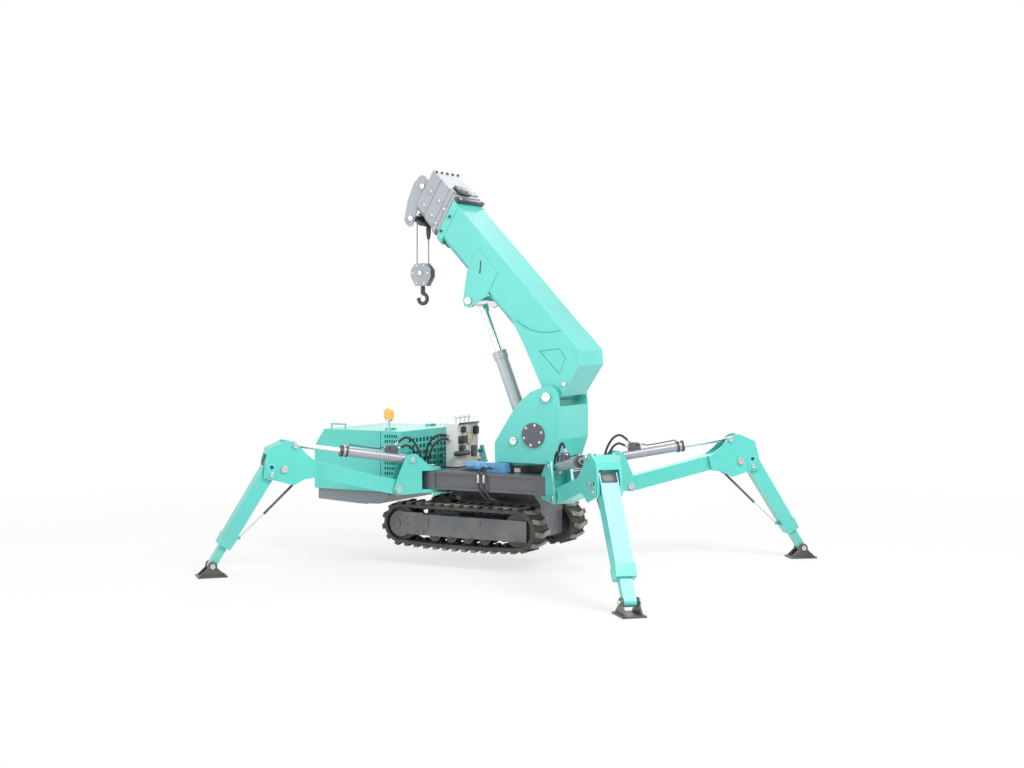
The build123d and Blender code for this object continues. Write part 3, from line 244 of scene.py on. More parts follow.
# %% Paint
def paint(name, colour, gloss=0.3, dust=0.35):
    """Sprayed paint whose edges are lighter from wear and from a painted highlight; gloss is its roughness.
    """
    finish = Finish(name)
    clouds = finish.noise(1.7, 4.0)
    tone = finish.mix(clouds.between(0.3, 0.7), shade(colour, 0.93), shade(colour, 1.06))
    streaks = finish.noise(3.0, 5.0, stretch=(5.0, 5.0, 0.6)).between(0.52, 0.78)
    tone = finish.mix(streaks * 0.10, tone, shade(colour, 0.72))
    # The edges' mask lightens them, partly as wear and partly as a painted highlight, and places the chips.
    edge = finish.edges(0.0035)
    tone = finish.mix(edge * 0.45, tone, shade(colour, 1.45))
    nicks = finish.noise(95.0, 6.0).between(0.60, 0.66)
    chip = edge * nicks * CHIPS
    tone = finish.mix(chip, tone, PRIMER)
    low = 1.0 - finish.height().between(0.02, DUST_TOP)
    film = low * finish.noise(6.0, 6.0).between(0.35, 0.75) * dust
    tone = finish.mix(film, tone, DUST)
    rough = clouds * 0.08 + gloss + film * 0.5 + chip * 0.3
    peel = finish.noise(260.0, 1.0) * 0.6 + finish.noise(60.0, 2.0) * 0.4
    return finish.show(Base_Color=tone, Roughness=rough, Coat_Weight=0.25, Coat_Roughness=0.12,
                       Normal=finish.bump(peel, 0.0006, 0.35))


print("dust fades out at", DUST_TOP, "m above the ground")

# %% [markdown]
# ## Rubber
# The tracks are black rubber, scuffed pale on the faces of the lugs that meet the ground, and the hoses
# are the same black, but cleaner. The lugs' faces could be a second material, but the frame's meshes are
# left alone, so the shader finds them itself, by their distance from the belt's loop.

# %% Rubber and the lugs' pale faces
LOOP_MIDDLE, LOOP_HALF, AXLE_HEIGHT = -0.3201, 0.466, 0.291
LUG_FACE = (0.149, 0.155)


def lug_faces(finish):
    """1 on the outer faces of the tracks' lugs, found by their distance from the belt's loop."""
    x = finish.node("ShaderNodeSeparateXYZ", {}, finish.place, out="X")
    past = finish.node("ShaderNodeMath", {"operation": "ABSOLUTE"}, x - LOOP_MIDDLE) - LOOP_HALF
    past = finish.node("ShaderNodeMath", {"operation": "MAXIMUM"}, past, 0.0)
    rise = finish.height() - AXLE_HEIGHT
    return ((past * past + rise * rise) ** 0.5).between(*LUG_FACE)


def rubber(name, colour=(0.042, 0.040, 0.037, 1.0), dust=0.8, gloss=0.72, tread=False):
    """Dull rubber, scuffed along its edges; tread adds the lugs' pale faces."""
    finish = Finish(name)
    clouds = finish.noise(9.0, 5.0)
    grains = finish.noise(420.0, 2.0)
    tone = finish.mix(clouds.between(0.3, 0.7), colour, shade(colour, 1.7))
    edge = finish.edges(0.004)
    scuffs = finish.noise(38.0, 6.0).between(0.45, 0.7)
    worn = edge * scuffs * dust
    tone = finish.mix(worn * 0.55, tone, (0.20, 0.185, 0.16, 1.0))
    film = finish.noise(5.0, 6.0).between(0.42, 0.72) * dust
    tone = finish.mix(film * 0.35, tone, (0.17, 0.15, 0.12, 1.0))
    if tread:
        pale = lug_faces(finish) * finish.noise(7.0, 4.0).between(0.30, 0.55)
        tone = finish.mix(pale * 0.75, tone, (0.40, 0.37, 0.32, 1.0))
    return finish.show(Base_Color=tone, Roughness=clouds * 0.15 + gloss,
                       Normal=finish.bump(grains + clouds, 0.0012, 0.4))


print("lug faces lie", LUG_FACE, "m from the belt's loop")

# %% [markdown]
# ## Steel, plastic and the lamp's lens
# Pins, rods and rope are bare steel, the knobs and the gauge's face are moulded plastic, and the beacon's
# lens is amber plastic with rings in it. Steel differs from chrome in roughness and grime alone, so one
# function gives both. The lens could let light through, but at this size a faint glow reads the same.

# %% Steel, plastic and lens
STAIN = (0.16, 0.13, 0.10, 1.0)


def metal(name, colour, rough, grime=0.25):
    """Bare metal with faint lines and dark stains."""
    finish = Finish(name)
    lines = finish.noise(70.0, 4.0)
    clouds = finish.noise(12.0, 5.0)
    tone = finish.mix(lines.between(0.35, 0.65), shade(colour, 0.86), shade(colour, 1.05))
    stain = clouds.between(0.55, 0.78) * grime
    tone = finish.mix(stain, tone, STAIN)
    return finish.show(Base_Color=tone, Metallic=1.0 - stain * 0.7,
                       Roughness=lines * 0.12 + rough + stain * 0.3,
                       Normal=finish.bump(lines, 0.0004, 0.3))


def plastic(name, colour, rough=0.35):
    """Moulded plastic with a fine skin."""
    finish = Finish(name)
    clouds = finish.noise(14.0, 4.0)
    tone = finish.mix(clouds.between(0.3, 0.7), shade(colour, 0.88), shade(colour, 1.08))
    skin = finish.noise(220.0, 2.0)
    return finish.show(Base_Color=tone, Roughness=clouds * 0.12 + rough,
                       Normal=finish.bump(skin, 0.0004, 0.35))


def amber_lens(name):
    """Amber lens with rings round it and a faint glow."""
    finish = Finish(name)
    rings = finish.node("ShaderNodeTexWave", {"wave_type": "BANDS", "bands_direction": "Z"},
                        Vector=finish.place, Scale=55.0, Distortion=0.0, out="Fac")
    clouds = finish.noise(20.0, 3.0)
    tone = finish.mix(clouds.between(0.3, 0.7), (0.95, 0.36, 0.03, 1.0), (1.0, 0.50, 0.07, 1.0))
    return finish.show(Base_Color=tone, Roughness=clouds * 0.06 + 0.12, Coat_Weight=0.8,
                       Emission_Color=(0.9, 0.36, 0.03, 1.0), Emission_Strength=0.25,
                       Normal=finish.bump(rings, 0.003, 0.6))


print("stain on steel:", STAIN[:3])

# %% [markdown]
# ## One finish for each node
# Each finish is made once and shared by all that wear it, as on the real machine. The frame's nodes get
# theirs by name. The four outriggers share names but for their beginnings, so the ending decides there.

# %% Make the finishes
finishes = {
    "teal": paint("teal_paint", TEAL),
    "boom_grey": paint("boom_grey_paint", BOOM_GREY, gloss=0.38, dust=0.15),
    # A darker green for the weld beads: painted shade along the welded edges.
    "teal_bead": paint("teal_bead_paint", shade(TEAL, 0.55), gloss=0.4),
    "head_grey": paint("head_grey_paint", HEAD_GREY, gloss=0.36, dust=0.05),
    "beam_grey": paint("beam_grey_paint", BEAM_GREY, gloss=0.36, dust=0.45),
    "black": paint("black_paint", BLACK_PAINT, gloss=0.42, dust=0.3),
    "blue": paint("motor_blue_paint", MOTOR_BLUE, gloss=0.28, dust=0.1),
    "panel": paint("panel_white_paint", PANEL_WHITE, gloss=0.35, dust=0.1),
    "rubber": rubber("track_rubber", tread=True),
    "hose": rubber("hose_rubber", colour=(0.018, 0.018, 0.019, 1.0), dust=0.25, gloss=0.5),
    "chrome": metal("rod_chrome", (0.86, 0.87, 0.88, 1.0), 0.07, grime=0.05),
    "steel": metal("pin_steel", (0.62, 0.62, 0.61, 1.0), 0.28),
    "barrel": paint("barrel_grey_paint", BARREL_GREY, gloss=0.16, dust=0.05),
    # The luff barrel's paler grey is partly its own silver and partly painted light against its shade.
    "luff_barrel": paint("luff_barrel_paint", LUFF_SILVER_AND_LIGHT, gloss=0.22, dust=0.03),
    "rope": metal("rope_steel", (0.42, 0.41, 0.39, 1.0), 0.42, grime=0.4),
    "iron": paint("iron_black_paint", (0.04, 0.042, 0.046, 1.0), gloss=0.4, dust=0.35),
    "knob": plastic("knob_black", (0.02, 0.02, 0.022, 1.0)),
    "amber": amber_lens("amber_lens"),
    "brass": metal("nub_brass", (0.80, 0.60, 0.30, 1.0), 0.3),
    "sticker": plastic("blank_sticker", (0.82, 0.83, 0.82, 1.0), rough=0.5),
    "gauge": plastic("gauge_face", (0.78, 0.66, 0.40, 1.0), rough=0.4),
}
print("finishes:", len(finishes))

# %% Put them on the frame's nodes
NODE_FINISH = {
    "chassis_frame": "beam_grey", "belly_guard": "boom_grey", "slewing_ring": "black", "slew_drive": "blue",
    "front_enclosure": "teal", "engine_hood": "teal", "engine_block": "iron", "console": "panel",
    "beacon_stem": "steel", "beacon_lamp": "amber", "post": "teal", "winch": "beam_grey", "boom_base": "teal",
    "boom_head": "head_grey", "head_sheaves": "iron", "luff_barrel": "luff_barrel", "luff_rod": "chrome",
    "rope_falls": "rope", "hook_block": "head_grey", "hook": "iron",
}
ENDINGS = {
    "_bracket": "teal", "_arm": "teal", "_leg": "teal", "_foot": "iron", "_lift_barrel": "barrel",
    "_lift_rod": "chrome",
}


def finish_of(node):
    """The finish of one frame node, by its name or by the ending of its name."""
    if node in NODE_FINISH:
        return NODE_FINISH[node]
    for ending, finish in ENDINGS.items():
        if node.endswith(ending):
            return finish
    if node.startswith("boom_section"):
        return "head_grey"
    if node.startswith("track_beam"):
        return "beam_grey"
    return "rubber" if node in ("track_near", "track_far") else "black"


for node, thing in frame["nodes"].items():
    thing.data.materials.clear()
    thing.data.materials.append(finishes[finish_of(node)])
print("finished", len(frame["nodes"]), "frame nodes")

# %% [markdown]
# ## Benches to work on
# Each outrigger and the boom stand at their own angle, and it is awkward to model a small bolt there. So
# each gets a bench: a matrix whose X runs along the part and whose Z points up from it. A piece is made
# on the bench in millimetres, as in the workshop, and its mesh is then carried to its place.

# %% Benches
MM = 0.001
LUFF_PIN_X = 0.309
BOOM_UP = (0.728, 0, 0.685)
MACHINE = Matrix.Translation((pins["boom_luff"].x - LUFF_PIN_X, 0, 0))


def bench(origin, along, up):
    """Matrix with its X along one direction and its Z as near as can be to another."""
    x = Vector(along).normalized()
    y = Vector(up).cross(x).normalized()
    return Matrix.Translation(origin) @ Matrix((x, y, x.cross(y))).transposed().to_4x4()


BOOM = bench(pins["boom_luff"], axes["boom_extend_2"], BOOM_UP)
LEG_BENCH = {}
for leg in LEGS:
    swing, fold = pins[f"{leg}_swing"], pins[f"{leg}_leg_fold"]
    LEG_BENCH[leg] = bench((swing.x, swing.y, 0), (fold.x - swing.x, fold.y - swing.y, 0), (0, 0, 1))
print("boom bench", [round(part, 3) for part in BOOM.translation], "and", len(LEG_BENCH), "leg benches")

# %% [markdown]
# ## Hand tools
# A workshop has a few tools that are used for everything. Each one below starts from a primitive and
# shapes it: a block and a rod get rounded rims, a plate is an outline that is extruded, a sleeve is an
# open cylinder that is given a wall, and a hose is a smooth curve with a round section. Everything is
# deselected before each step, because an operator works on all that is selected.

# %% Select, round, join and finish
def clear():
    """Object mode with nothing selected."""
    if bpy.context.object and bpy.context.object.mode != "OBJECT":
        bpy.ops.object.mode_set(mode="OBJECT")
    bpy.ops.object.select_all(action="DESELECT")


def take(*pieces):
    """Selects these pieces alone, the first one active."""
    clear()
    for piece in pieces:
        piece.select_set(True)
    bpy.context.view_layer.objects.active = pieces[0]
    return pieces[0]


def soften(piece, width):
    """Rounds the sharp edges by a width in millimetres."""
    take(piece)
    rim = piece.modifiers.new("rim", "BEVEL")
    rim.width = width * MM
    rim.segments = 2
    rim.limit_method = "ANGLE"
    bpy.ops.object.modifier_apply(modifier="rim")
    return piece


def join(pieces):
    """One object from several."""
    take(*pieces)
    if len(pieces) > 1:
        bpy.ops.object.join()
    return pieces[0]


def settle(piece, name, finish, body=None, place=MACHINE):
    """Carries the mesh from its bench to its place, with its name, finish and body."""
    take(piece)
    bpy.ops.object.transform_apply(location=True, rotation=True, scale=True)
    piece.data.transform(place)
    bpy.ops.object.shade_smooth_by_angle(angle=radians(35))
    piece.data.materials.clear()
    piece.data.materials.append(finishes[finish])
    piece.name = name
    if body:
        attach(piece, body)
    return piece


def tell(words):
    """Prints how many pieces have these words in their names, and their faces."""
    found = [piece for piece in bpy.data.objects if piece.type == "MESH" and words in piece.name]
    print(f"{words}: {len(found)} pieces, {sum(len(piece.data.polygons) for piece in found)} faces")


# %% Block and rod
HEX = 6


def block(low, high, rim):
    """Box between two corners, its edges rounded."""
    clear()
    low, high = Vector(low) * MM, Vector(high) * MM
    bpy.ops.mesh.primitive_cube_add(size=1, location=(low + high) / 2, scale=high - low)
    bpy.ops.object.transform_apply(location=True, rotation=True, scale=True)
    return soften(bpy.context.object, rim)


def facing(point, direction):
    """Matrix at a point with its Z along a direction."""
    turned = Vector(direction).to_track_quat("Z", "Y").to_matrix().to_4x4()
    return Matrix.Translation(Vector(point) * MM) @ turned


def rod(start, end, radius, sides=24, rim=None):
    """Round bar between two points."""
    clear()
    run = Vector(end) - Vector(start)
    bpy.ops.mesh.primitive_cylinder_add(vertices=sides, radius=radius * MM, depth=run.length * MM)
    piece = soften(bpy.context.object, rim or radius * 0.12)
    piece.data.transform(facing((Vector(start) + Vector(end)) / 2, run))
    return piece


print("sides of a hexagonal fitting:", HEX)

# %% Sleeve and plate
SLEEVE_SIDES = 32


def sleeve(start, end, radius, wall):
    """Tube between two points, its wall grown inwards."""
    clear()
    run = Vector(end) - Vector(start)
    bpy.ops.mesh.primitive_cylinder_add(vertices=SLEEVE_SIDES, radius=radius * MM,
                                        depth=run.length * MM, end_fill_type="NOTHING")
    piece = take(bpy.context.object)
    shell = piece.modifiers.new("wall", "SOLIDIFY")
    shell.thickness = wall * MM
    shell.offset = -1.0
    bpy.ops.object.modifier_apply(modifier="wall")
    soften(piece, wall * 0.2)
    piece.data.transform(facing((Vector(start) + Vector(end)) / 2, run))
    return piece


def plate(outline, low, high, rim):
    """An outline in X and Z, carried along Y from low to high."""
    clear()
    bpy.ops.mesh.primitive_circle_add(vertices=len(outline), radius=1, fill_type="NGON")
    piece = bpy.context.object
    for vertex, (x, z) in zip(piece.data.vertices, outline):
        vertex.co = Vector((x, low, z)) * MM
    bpy.ops.object.mode_set(mode="EDIT")
    bpy.ops.mesh.select_all(action="SELECT")
    bpy.ops.mesh.extrude_region_move(TRANSFORM_OT_translate={"value": (0, (high - low) * MM, 0)})
    bpy.ops.mesh.select_all(action="SELECT")
    bpy.ops.mesh.normals_make_consistent(inside=False)
    bpy.ops.object.mode_set(mode="OBJECT")
    return soften(piece, rim)


print("sides of a sleeve:", SLEEVE_SIDES)

# %% Hose
HOSE_ORDER = 3


def hose(points, radius):
    """Round hose whose middle line is a smooth curve with these control points."""
    clear()
    line = bpy.data.curves.new("hose", "CURVE")
    line.dimensions = "3D"
    line.bevel_depth = radius * MM
    line.bevel_resolution = 3
    line.use_fill_caps = True
    spline = line.splines.new("NURBS")
    spline.points.add(len(points) - 1)
    for knot, point in zip(spline.points, points):
        knot.co = (*(Vector(point) * MM), 1.0)
    spline.order_u = HOSE_ORDER
    spline.use_endpoint_u = True
    piece = bpy.data.objects.new("hose", line)
    bpy.context.scene.collection.objects.link(piece)
    take(piece)
    bpy.ops.object.convert(target="MESH")
    return bpy.context.object


print("order of a hose's curve:", HOSE_ORDER)

# %% [markdown]
# ## Masters for what repeats
# Bolts and pin ends repeat all over the machine. An array would lay them in rows, but they sit singly and
# face all ways. So each is modelled once, standing on the bench's XY plane, and stamped wherever the
# photograph shows one. Every stamp has its own mesh, and those that ride on one body are joined.

# %% Stamp, and the places for it
def stamp(master, places):
    """Copies of a master at each place, joined into one piece; the master goes."""
    copies = []
    for place in places:
        copy = master.copy()
        copy.data = master.data.copy()
        bpy.context.scene.collection.objects.link(copy)
        copy.data.transform(place)
        copies.append(copy)
    bpy.data.objects.remove(master)
    return join(copies)


def both_faces(x, y, z):
    """A place on each of the two faces at +y and -y, looking outwards."""
    return [facing((x, side * y, z), (0, side, 0)) for side in (-1, 1)]


def on_side(side, near, far):
    """From and to along Y, for what lies between two distances on one side."""
    return sorted((side * near, side * far))


def circle(radius, count, start=0.0):
    """Points spaced evenly round a circle."""
    turns = [start + index * 2 * pi / count for index in range(count)]
    return [(radius * cos(turn), radius * sin(turn)) for turn in turns]


print("six bolts round a circle of 22 mm start at", circle(22, 6)[0])


# %% Bolt and pin end
def bolt(radius):
    """Hexagonal head on its washer."""
    washer = rod((0, 0, -1), (0, 0, radius * 0.35), radius * 1.45, 16)
    head = rod((0, 0, radius * 0.3), (0, 0, radius * 1.15), radius, HEX)
    return join([head, washer])


PIN_SINK = 4


def pin_end(radius, proud):
    """End of a pin: a disc with a dished middle and a grease nipple."""
    disc = rod((0, 0, -PIN_SINK), (0, 0, proud), radius, 32, rim=1.5)
    take(disc)
    bpy.ops.object.mode_set(mode="EDIT")
    bpy.ops.mesh.select_mode(type="FACE")
    bpy.ops.mesh.select_all(action="DESELECT")
    bpy.ops.object.mode_set(mode="OBJECT")
    for face in disc.data.polygons:
        face.select = face.normal.z > 0.99 and face.center.z > 0
    bpy.ops.object.mode_set(mode="EDIT")
    bpy.ops.mesh.inset(thickness=radius * 0.30 * MM)
    bpy.ops.transform.translate(value=(0, 0, -proud * 0.1 * MM))
    bpy.ops.object.mode_set(mode="OBJECT")
    nipple = rod((0, 0, 0), (0, 0, proud + 1), 3.2, 8)
    return join([disc, nipple])


print("a pin's disc is let in by", PIN_SINK, "mm")

# %% [markdown]
# ## Outriggers: pins and lock plates
# Each outrigger is a bracket, an arm and a leg that turn on steel pins. The ends of the pins are bright
# discs on green plates, so they show from afar. They could be spots in the paint, but the real ones
# stand proud and cast a shadow, so the master is stamped on both faces. A small plate with one more pin
# and a spare hole locks the leg. All four outriggers are alike, so one loop makes them on each bench.

# %% Places on an outrigger's bench
ARM_PIN, BARREL_PIN, ROD_PIN = (255, 551), (158, 755), (985, 880)
LEG_PIN, FOOT_PIN, LOCK_PIN = (1063, 720), (1550, 76), (1152, 684)
CHEEK_FACE, KNUCKLE_FACE, FOOT_FACE = 75, 80, 58
BRACKET_TOP = 708
LOCK_FACE = KNUCKLE_FACE + 6
LOCK_OUTLINE = ((1128, 652), (1168, 648), (1188, 668), (1187, 742), (1172, 760), (1134, 760), (1117, 742),
                (1114, 672))
SPARE_HOLE = (1151, 736)
print("arm pin to leg pin:", round(hypot(LEG_PIN[0] - ARM_PIN[0], LEG_PIN[1] - ARM_PIN[1])), "mm")

# %% Pin ends
for leg, place in LEG_BENCH.items():
    arm_ends = stamp(pin_end(24, proud=9.5), both_faces(ARM_PIN[0], CHEEK_FACE, ARM_PIN[1]))
    barrel_ends = stamp(pin_end(20, proud=9.5), both_faces(BARREL_PIN[0], CHEEK_FACE, BARREL_PIN[1]))
    swing_cap = stamp(pin_end(27, proud=8), [facing((0, 0, BRACKET_TOP), (0, 0, 1))])
    settle(join([arm_ends, barrel_ends, swing_cap]), f"{leg}_bracket_pins", "steel", f"{leg}_bracket", place)

    leg_ends = stamp(pin_end(25, proud=14), both_faces(LEG_PIN[0], KNUCKLE_FACE, LEG_PIN[1]))
    rod_ends = stamp(pin_end(20, proud=14), both_faces(ROD_PIN[0], KNUCKLE_FACE, ROD_PIN[1]))
    lock_ends = stamp(pin_end(15, proud=12), both_faces(LOCK_PIN[0], LOCK_FACE, LOCK_PIN[1]))
    settle(join([leg_ends, rod_ends, lock_ends]), f"{leg}_arm_pins", "steel", f"{leg}_arm", place)

    foot_ends = stamp(pin_end(18, proud=12), both_faces(FOOT_PIN[0], FOOT_FACE, FOOT_PIN[1]))
    settle(foot_ends, f"{leg}_foot_pins", "steel", f"{leg}_foot", place)
tell("_pins")

# %% Lock plates and their spare holes
for leg, place in LEG_BENCH.items():
    plates = [plate(LOCK_OUTLINE, *on_side(side, KNUCKLE_FACE, LOCK_FACE), rim=1.5) for side in (-1, 1)]
    settle(join(plates), f"{leg}_lock_plates", "teal", f"{leg}_arm", place)
    # A black ring and disc in each spare hole are painted shade.
    x, z = SPARE_HOLE
    hole_shades = [sleeve((x, side * 84, z), (x, side * 87.5, z), 13, wall=3) for side in (-1, 1)]
    hole_shades += [rod((x, side * 85, z), (x, side * 86.6, z), 10) for side in (-1, 1)]
    settle(join(hole_shades), f"{leg}_spare_holes", "black", f"{leg}_arm", place)
tell("_lock_plates")

# %% [markdown]
# ## Outriggers: what the lift cylinder carries
# Oil reaches each cylinder through a valve block on its barrel, two hoses from the bracket and a thin
# pipe along the barrel. The hoses could be single bodies, but barrel and bracket turn against each
# other. So each is a smooth curve made into a mesh, which rides on neither body. Dark rings mark the
# gland where the rod comes out.

# %% Points along the lift cylinder
LIFT_RUN = hypot(ROD_PIN[0] - BARREL_PIN[0], ROD_PIN[1] - BARREL_PIN[1])
LIFT_COS, LIFT_SIN = (ROD_PIN[0] - BARREL_PIN[0]) / LIFT_RUN, (ROD_PIN[1] - BARREL_PIN[1]) / LIFT_RUN


def on_lift(distance, offset, y=0):
    """Point beside the lift cylinder's axis, from its barrel pin."""
    x = BARREL_PIN[0] + distance * LIFT_COS - offset * LIFT_SIN
    return (x, y, BARREL_PIN[1] + distance * LIFT_SIN + offset * LIFT_COS)


print("barrel pin to rod pin:", round(LIFT_RUN), "mm")

# %% Gland rings, valve block and pipe, on a bench of the cylinder's own
VALVE_BLOCKS = (((100, -25, 28), (188, 25, 74), 4), ((112, -18, 72), (150, 18, 86), 3),
                ((150, -25, 50), (176, 25, 82), 5))
VALVE_FITTINGS = (((125, 14, 82), (106, 14, 108), 10), ((103, -14, 58), (76, -14, 74), 10),
                  ((186, 0, 60), (198, 0, 60), 8), ((452, 0, 36), (452, 0, 48), 8))
PIPE_RUN = ((196, 0, 60), (214, 0, 60), (226, 0, 50), (250, 0, 47), (340, 0, 47), (430, 0, 49), (452, 0, 52),
            (452, 0, 40))
for leg, place in LEG_BENCH.items():
    barrel = f"{leg}_lift_barrel"
    rings = [sleeve(on_lift(455, 0), on_lift(469, 0), 41.5, wall=5),
             sleeve(on_lift(487, 0), on_lift(507, 0), 42, wall=20)]
    settle(join(rings), f"{leg}_gland_rings", "iron", barrel, place)
    root = place @ (Vector(on_lift(0, 0)) * MM)
    lift = bench(root, place @ (Vector(on_lift(100, 0)) * MM) - root, (0, 0, 1))
    settle(join([block(*sizes) for sizes in VALVE_BLOCKS]), f"{leg}_valve", "beam_grey", barrel, lift)
    fittings = [rod(start, end, radius, HEX) for start, end, radius in VALVE_FITTINGS]
    settle(join(fittings), f"{leg}_valve_fittings", "steel", barrel, lift)
    settle(hose(PIPE_RUN, 4.5), f"{leg}_pipe", "iron", barrel, lift)
tell("_valve")

# %% Hoses from the valve block to the bracket
HOSE_RADIUS = 8.5
HOSE_RUNS = {
    "outer": [on_lift(112, 98, 14), on_lift(96, 120, 14), (190, 14, 918), (140, 14, 893), (104, 14, 838),
              (80, 14, 770), (75, 14, 712)],
    "inner": [on_lift(84, 69, -14), on_lift(62, 82, -14), (172, -14, 858), (132, -14, 830), (106, -14, 780),
              (95, -14, 740), (93, -14, 712)],
}
for leg, place in LEG_BENCH.items():
    feet = [rod((75, 14, 697), (75, 14, 724), 11, HEX), rod((93, -14, 697), (93, -14, 724), 11, HEX)]
    settle(join(feet), f"{leg}_hose_feet", "steel", f"{leg}_bracket", place)
    for side, run in HOSE_RUNS.items():
        piece = settle(hose(run, HOSE_RADIUS), f"{leg}_hose_{side}", "hose", None, place)
        ends = [place @ (Vector(point) * MM) for point in (run[0], run[-1])]
        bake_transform(piece)
tell("_hose_")

# %% [markdown]
# ## Outriggers: gas struts
# A thin gas strut, dark above and bright below, helps to fold each leg. It could ride on the leg, but
# its upper end sits on the arm, so both of its halves ride on neither body. The window in the leg's top
# plate, a black plate of painted shade, and the lug that takes the strut belong to the leg.

# %% Struts, lugs and windows
STRUT_TOP, STRUT_JOIN, STRUT_LOW = (972, 0, 622), (1192, 0, 411), (1360, 0, 256)
WINDOW_OUTLINE = ((1166, 801), (1170, 804), (1203, 749), (1199, 746))
for leg, place in LEG_BENCH.items():
    # The black plate in the leg's window is painted shade.
    settle(plate(WINDOW_OUTLINE, -50, 50, rim=1), f"{leg}_leg_window", "black", f"{leg}_leg", place)
    settle(block((1352, -12, 244), (1385, 12, 268), 3), f"{leg}_strut_lug", "teal", f"{leg}_leg", place)
    halves = {"beam_grey": rod(STRUT_TOP, STRUT_JOIN, 8.5), "chrome": rod(STRUT_JOIN, STRUT_LOW, 4.5)}
    ends = [place @ (Vector(point) * MM) for point in (STRUT_TOP, STRUT_LOW)]
    for finish, piece in halves.items():
        settle(piece, f"{leg}_strut_{finish}", finish, None, place)
        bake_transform(piece)
tell("_strut_")

# %% [markdown]
# ## Boom: collars
# The boom is a nest of box sections. Each ends in a leaning collar that is wider than its box, with two
# bolts on small pads in each side, which hold the slide pads inside. Between two collars lies a dark strip,
# partly a wiper seal and partly painted shade of the gap. The strips could be painted lines, but a thin
# raised strip also throws a line of shadow.

# %% Collar bolts and pads
# body of the section, half width of its collar, the bolts' places along and up, finish of the pads
COLLAR_BOLTS = (
    ("boom_base", 187, ((1466, 285), (1442, 165)), "teal"),
    ("boom_3", 178, ((1541, 287), (1517, 170)), "head_grey"),
    ("boom_4", 174, ((1614, 297), (1585, 183)), "head_grey"),
    ("boom_5", 170, ((1715, 294), (1682, 186)), "head_grey"),
)
PAD_HALF = 17
for body, half, spots, finish in COLLAR_BOLTS:
    places = [place for s, t in spots for place in both_faces(s, half + 3, t)]
    bolt_finish = "iron" if body == "boom_base" else "steel"
    settle(stamp(bolt(8), places), f"{body}_collar_bolts", bolt_finish, body, BOOM)
    pads = []
    for s, t in spots:
        for side in (-1, 1):
            low, high = on_side(side, half, half + 3.5)
            pads.append(block((s - PAD_HALF, low, t - PAD_HALF), (s + PAD_HALF, high, t + PAD_HALF), 2.5))
    settle(join(pads), f"{body}_collar_pads", finish, body, BOOM)
tell("_collar_")

# %% Wiper seals and painted shade between the collars
# body, front at mid height, half width, low and top of its collar, then the same of the box inside it
SEALS_AND_SHADE = (
    ("boom_base", 1488, 187, 90, 388, 167, 134, 368),
    ("boom_2", 1518, 182, 118, 412, 153, 148, 354),
    ("boom_3", 1560, 178, 92, 420, 139, 162, 340),
    ("boom_4", 1662, 174, 108, 414, 125, 176, 326),
)
SEAL, LEAN, MIDDLE_T, CORNER, SEAL_RIM = 4.8, 0.30, 251, 30, 0.4


def leaning_strip(front, low, high):
    """Outline of a strip that stands before a collar's leaning face."""
    corners = ((0.3, low), (SEAL, low), (SEAL, high), (0.3, high))
    return [(front + ahead + (t - MIDDLE_T) * LEAN, t) for ahead, t in corners]


for body, front, half, low, top, inner, inner_low, inner_top in SEALS_AND_SHADE:
    above, below = leaning_strip(front, inner_top + 1, top - 3), leaning_strip(front, low + 3, inner_low - 1)
    beside = leaning_strip(front, low + CORNER, inner_top)
    strips = [plate(above, -half + 3, half - 3, SEAL_RIM),
              plate(below, -half + CORNER, half - CORNER, SEAL_RIM)]
    strips += [plate(beside, *on_side(side, inner + 1.5, half - 3), SEAL_RIM) for side in (-1, 1)]
    # Black strips: partly wiper seals, partly painted shade of the gap round each inner box.
    settle(join(strips), f"{body}_seal", "black", body, BOOM)
tell("_seal")

# %% Bar, cover and bolts on the collars' tops
HEAD_TOP, BAR_TOP, COVER_TOP = 410, 420, 432
row = [facing((1792, y, HEAD_TOP), (0, 0, 1)) for y in (-150, -75, 0, 75, 150)]
settle(stamp(bolt(8), row), "head_top_bolts", "black", "boom_5", BOOM)
settle(block((1492, -183, 387), (1520, 183, BAR_TOP), 4), "collar_bar", "black", "boom_base", BOOM)
bar_bolts = [facing((1506, y, BAR_TOP), (0, 0, 1)) for y in (-160, 160)]
settle(stamp(bolt(8), bar_bolts), "collar_bar_bolts", "steel", "boom_base", BOOM)
outline = [(1552, -30), (1572, -66), (1622, -66), (1642, -30),
           (1642, 92), (1622, 130), (1572, 130), (1552, 92)]
cover = plate(outline, -COVER_TOP, -421, rim=2)
cover.data.transform(Matrix.Rotation(radians(-90), 4, "X"))
settle(cover, "collar_cover", "black", "boom_3", BOOM)
cover_bolts = [facing((s, y, COVER_TOP), (0, 0, 1)) for s, y in ((1590, -20), (1606, 90))]
settle(stamp(bolt(9), cover_bolts), "collar_cover_bolts", "steel", "boom_3", BOOM)
settle(block((1334, -150, 106), (1402, 150, 119.5), 3), "boom_wear_pad", "black", "boom_base", BOOM)
tell("collar_cover")

# %% [markdown]
# ## Boom: weld beads and pins
# The thick side plates of the boom's foot are welded on along an arc, and a recess is welded in below
# it. A bead is a narrow raised line, so a thin hose along the arc and thin rods along the recess do it;
# their darker green is painted shade. Bright pin ends close the luff pivot, the cylinder's pins and the rope
# wheels.

# %% Beads on the boom's foot
ARC = ((560, 168), (480, 188), (400, 228), (330, 292), (274, 374))
RECESS = ((286, 158), (192, 284), (112, 276), (64, 162), (286, 158))
BEAD = 2.2
beads = []
for side in (-1, 1):
    beads.append(hose([(s, side * 189, t) for s, t in ARC], BEAD))
    for (s, t), (next_s, next_t) in zip(RECESS, RECESS[1:]):
        beads.append(rod((s, side * 187.6, t), (next_s, side * 187.6, next_t), BEAD, 8))
# The beads wear the darker green, which is painted shade.
settle(join(beads), "boom_foot_beads", "teal_bead", "boom_base", BOOM)
tell("_beads")

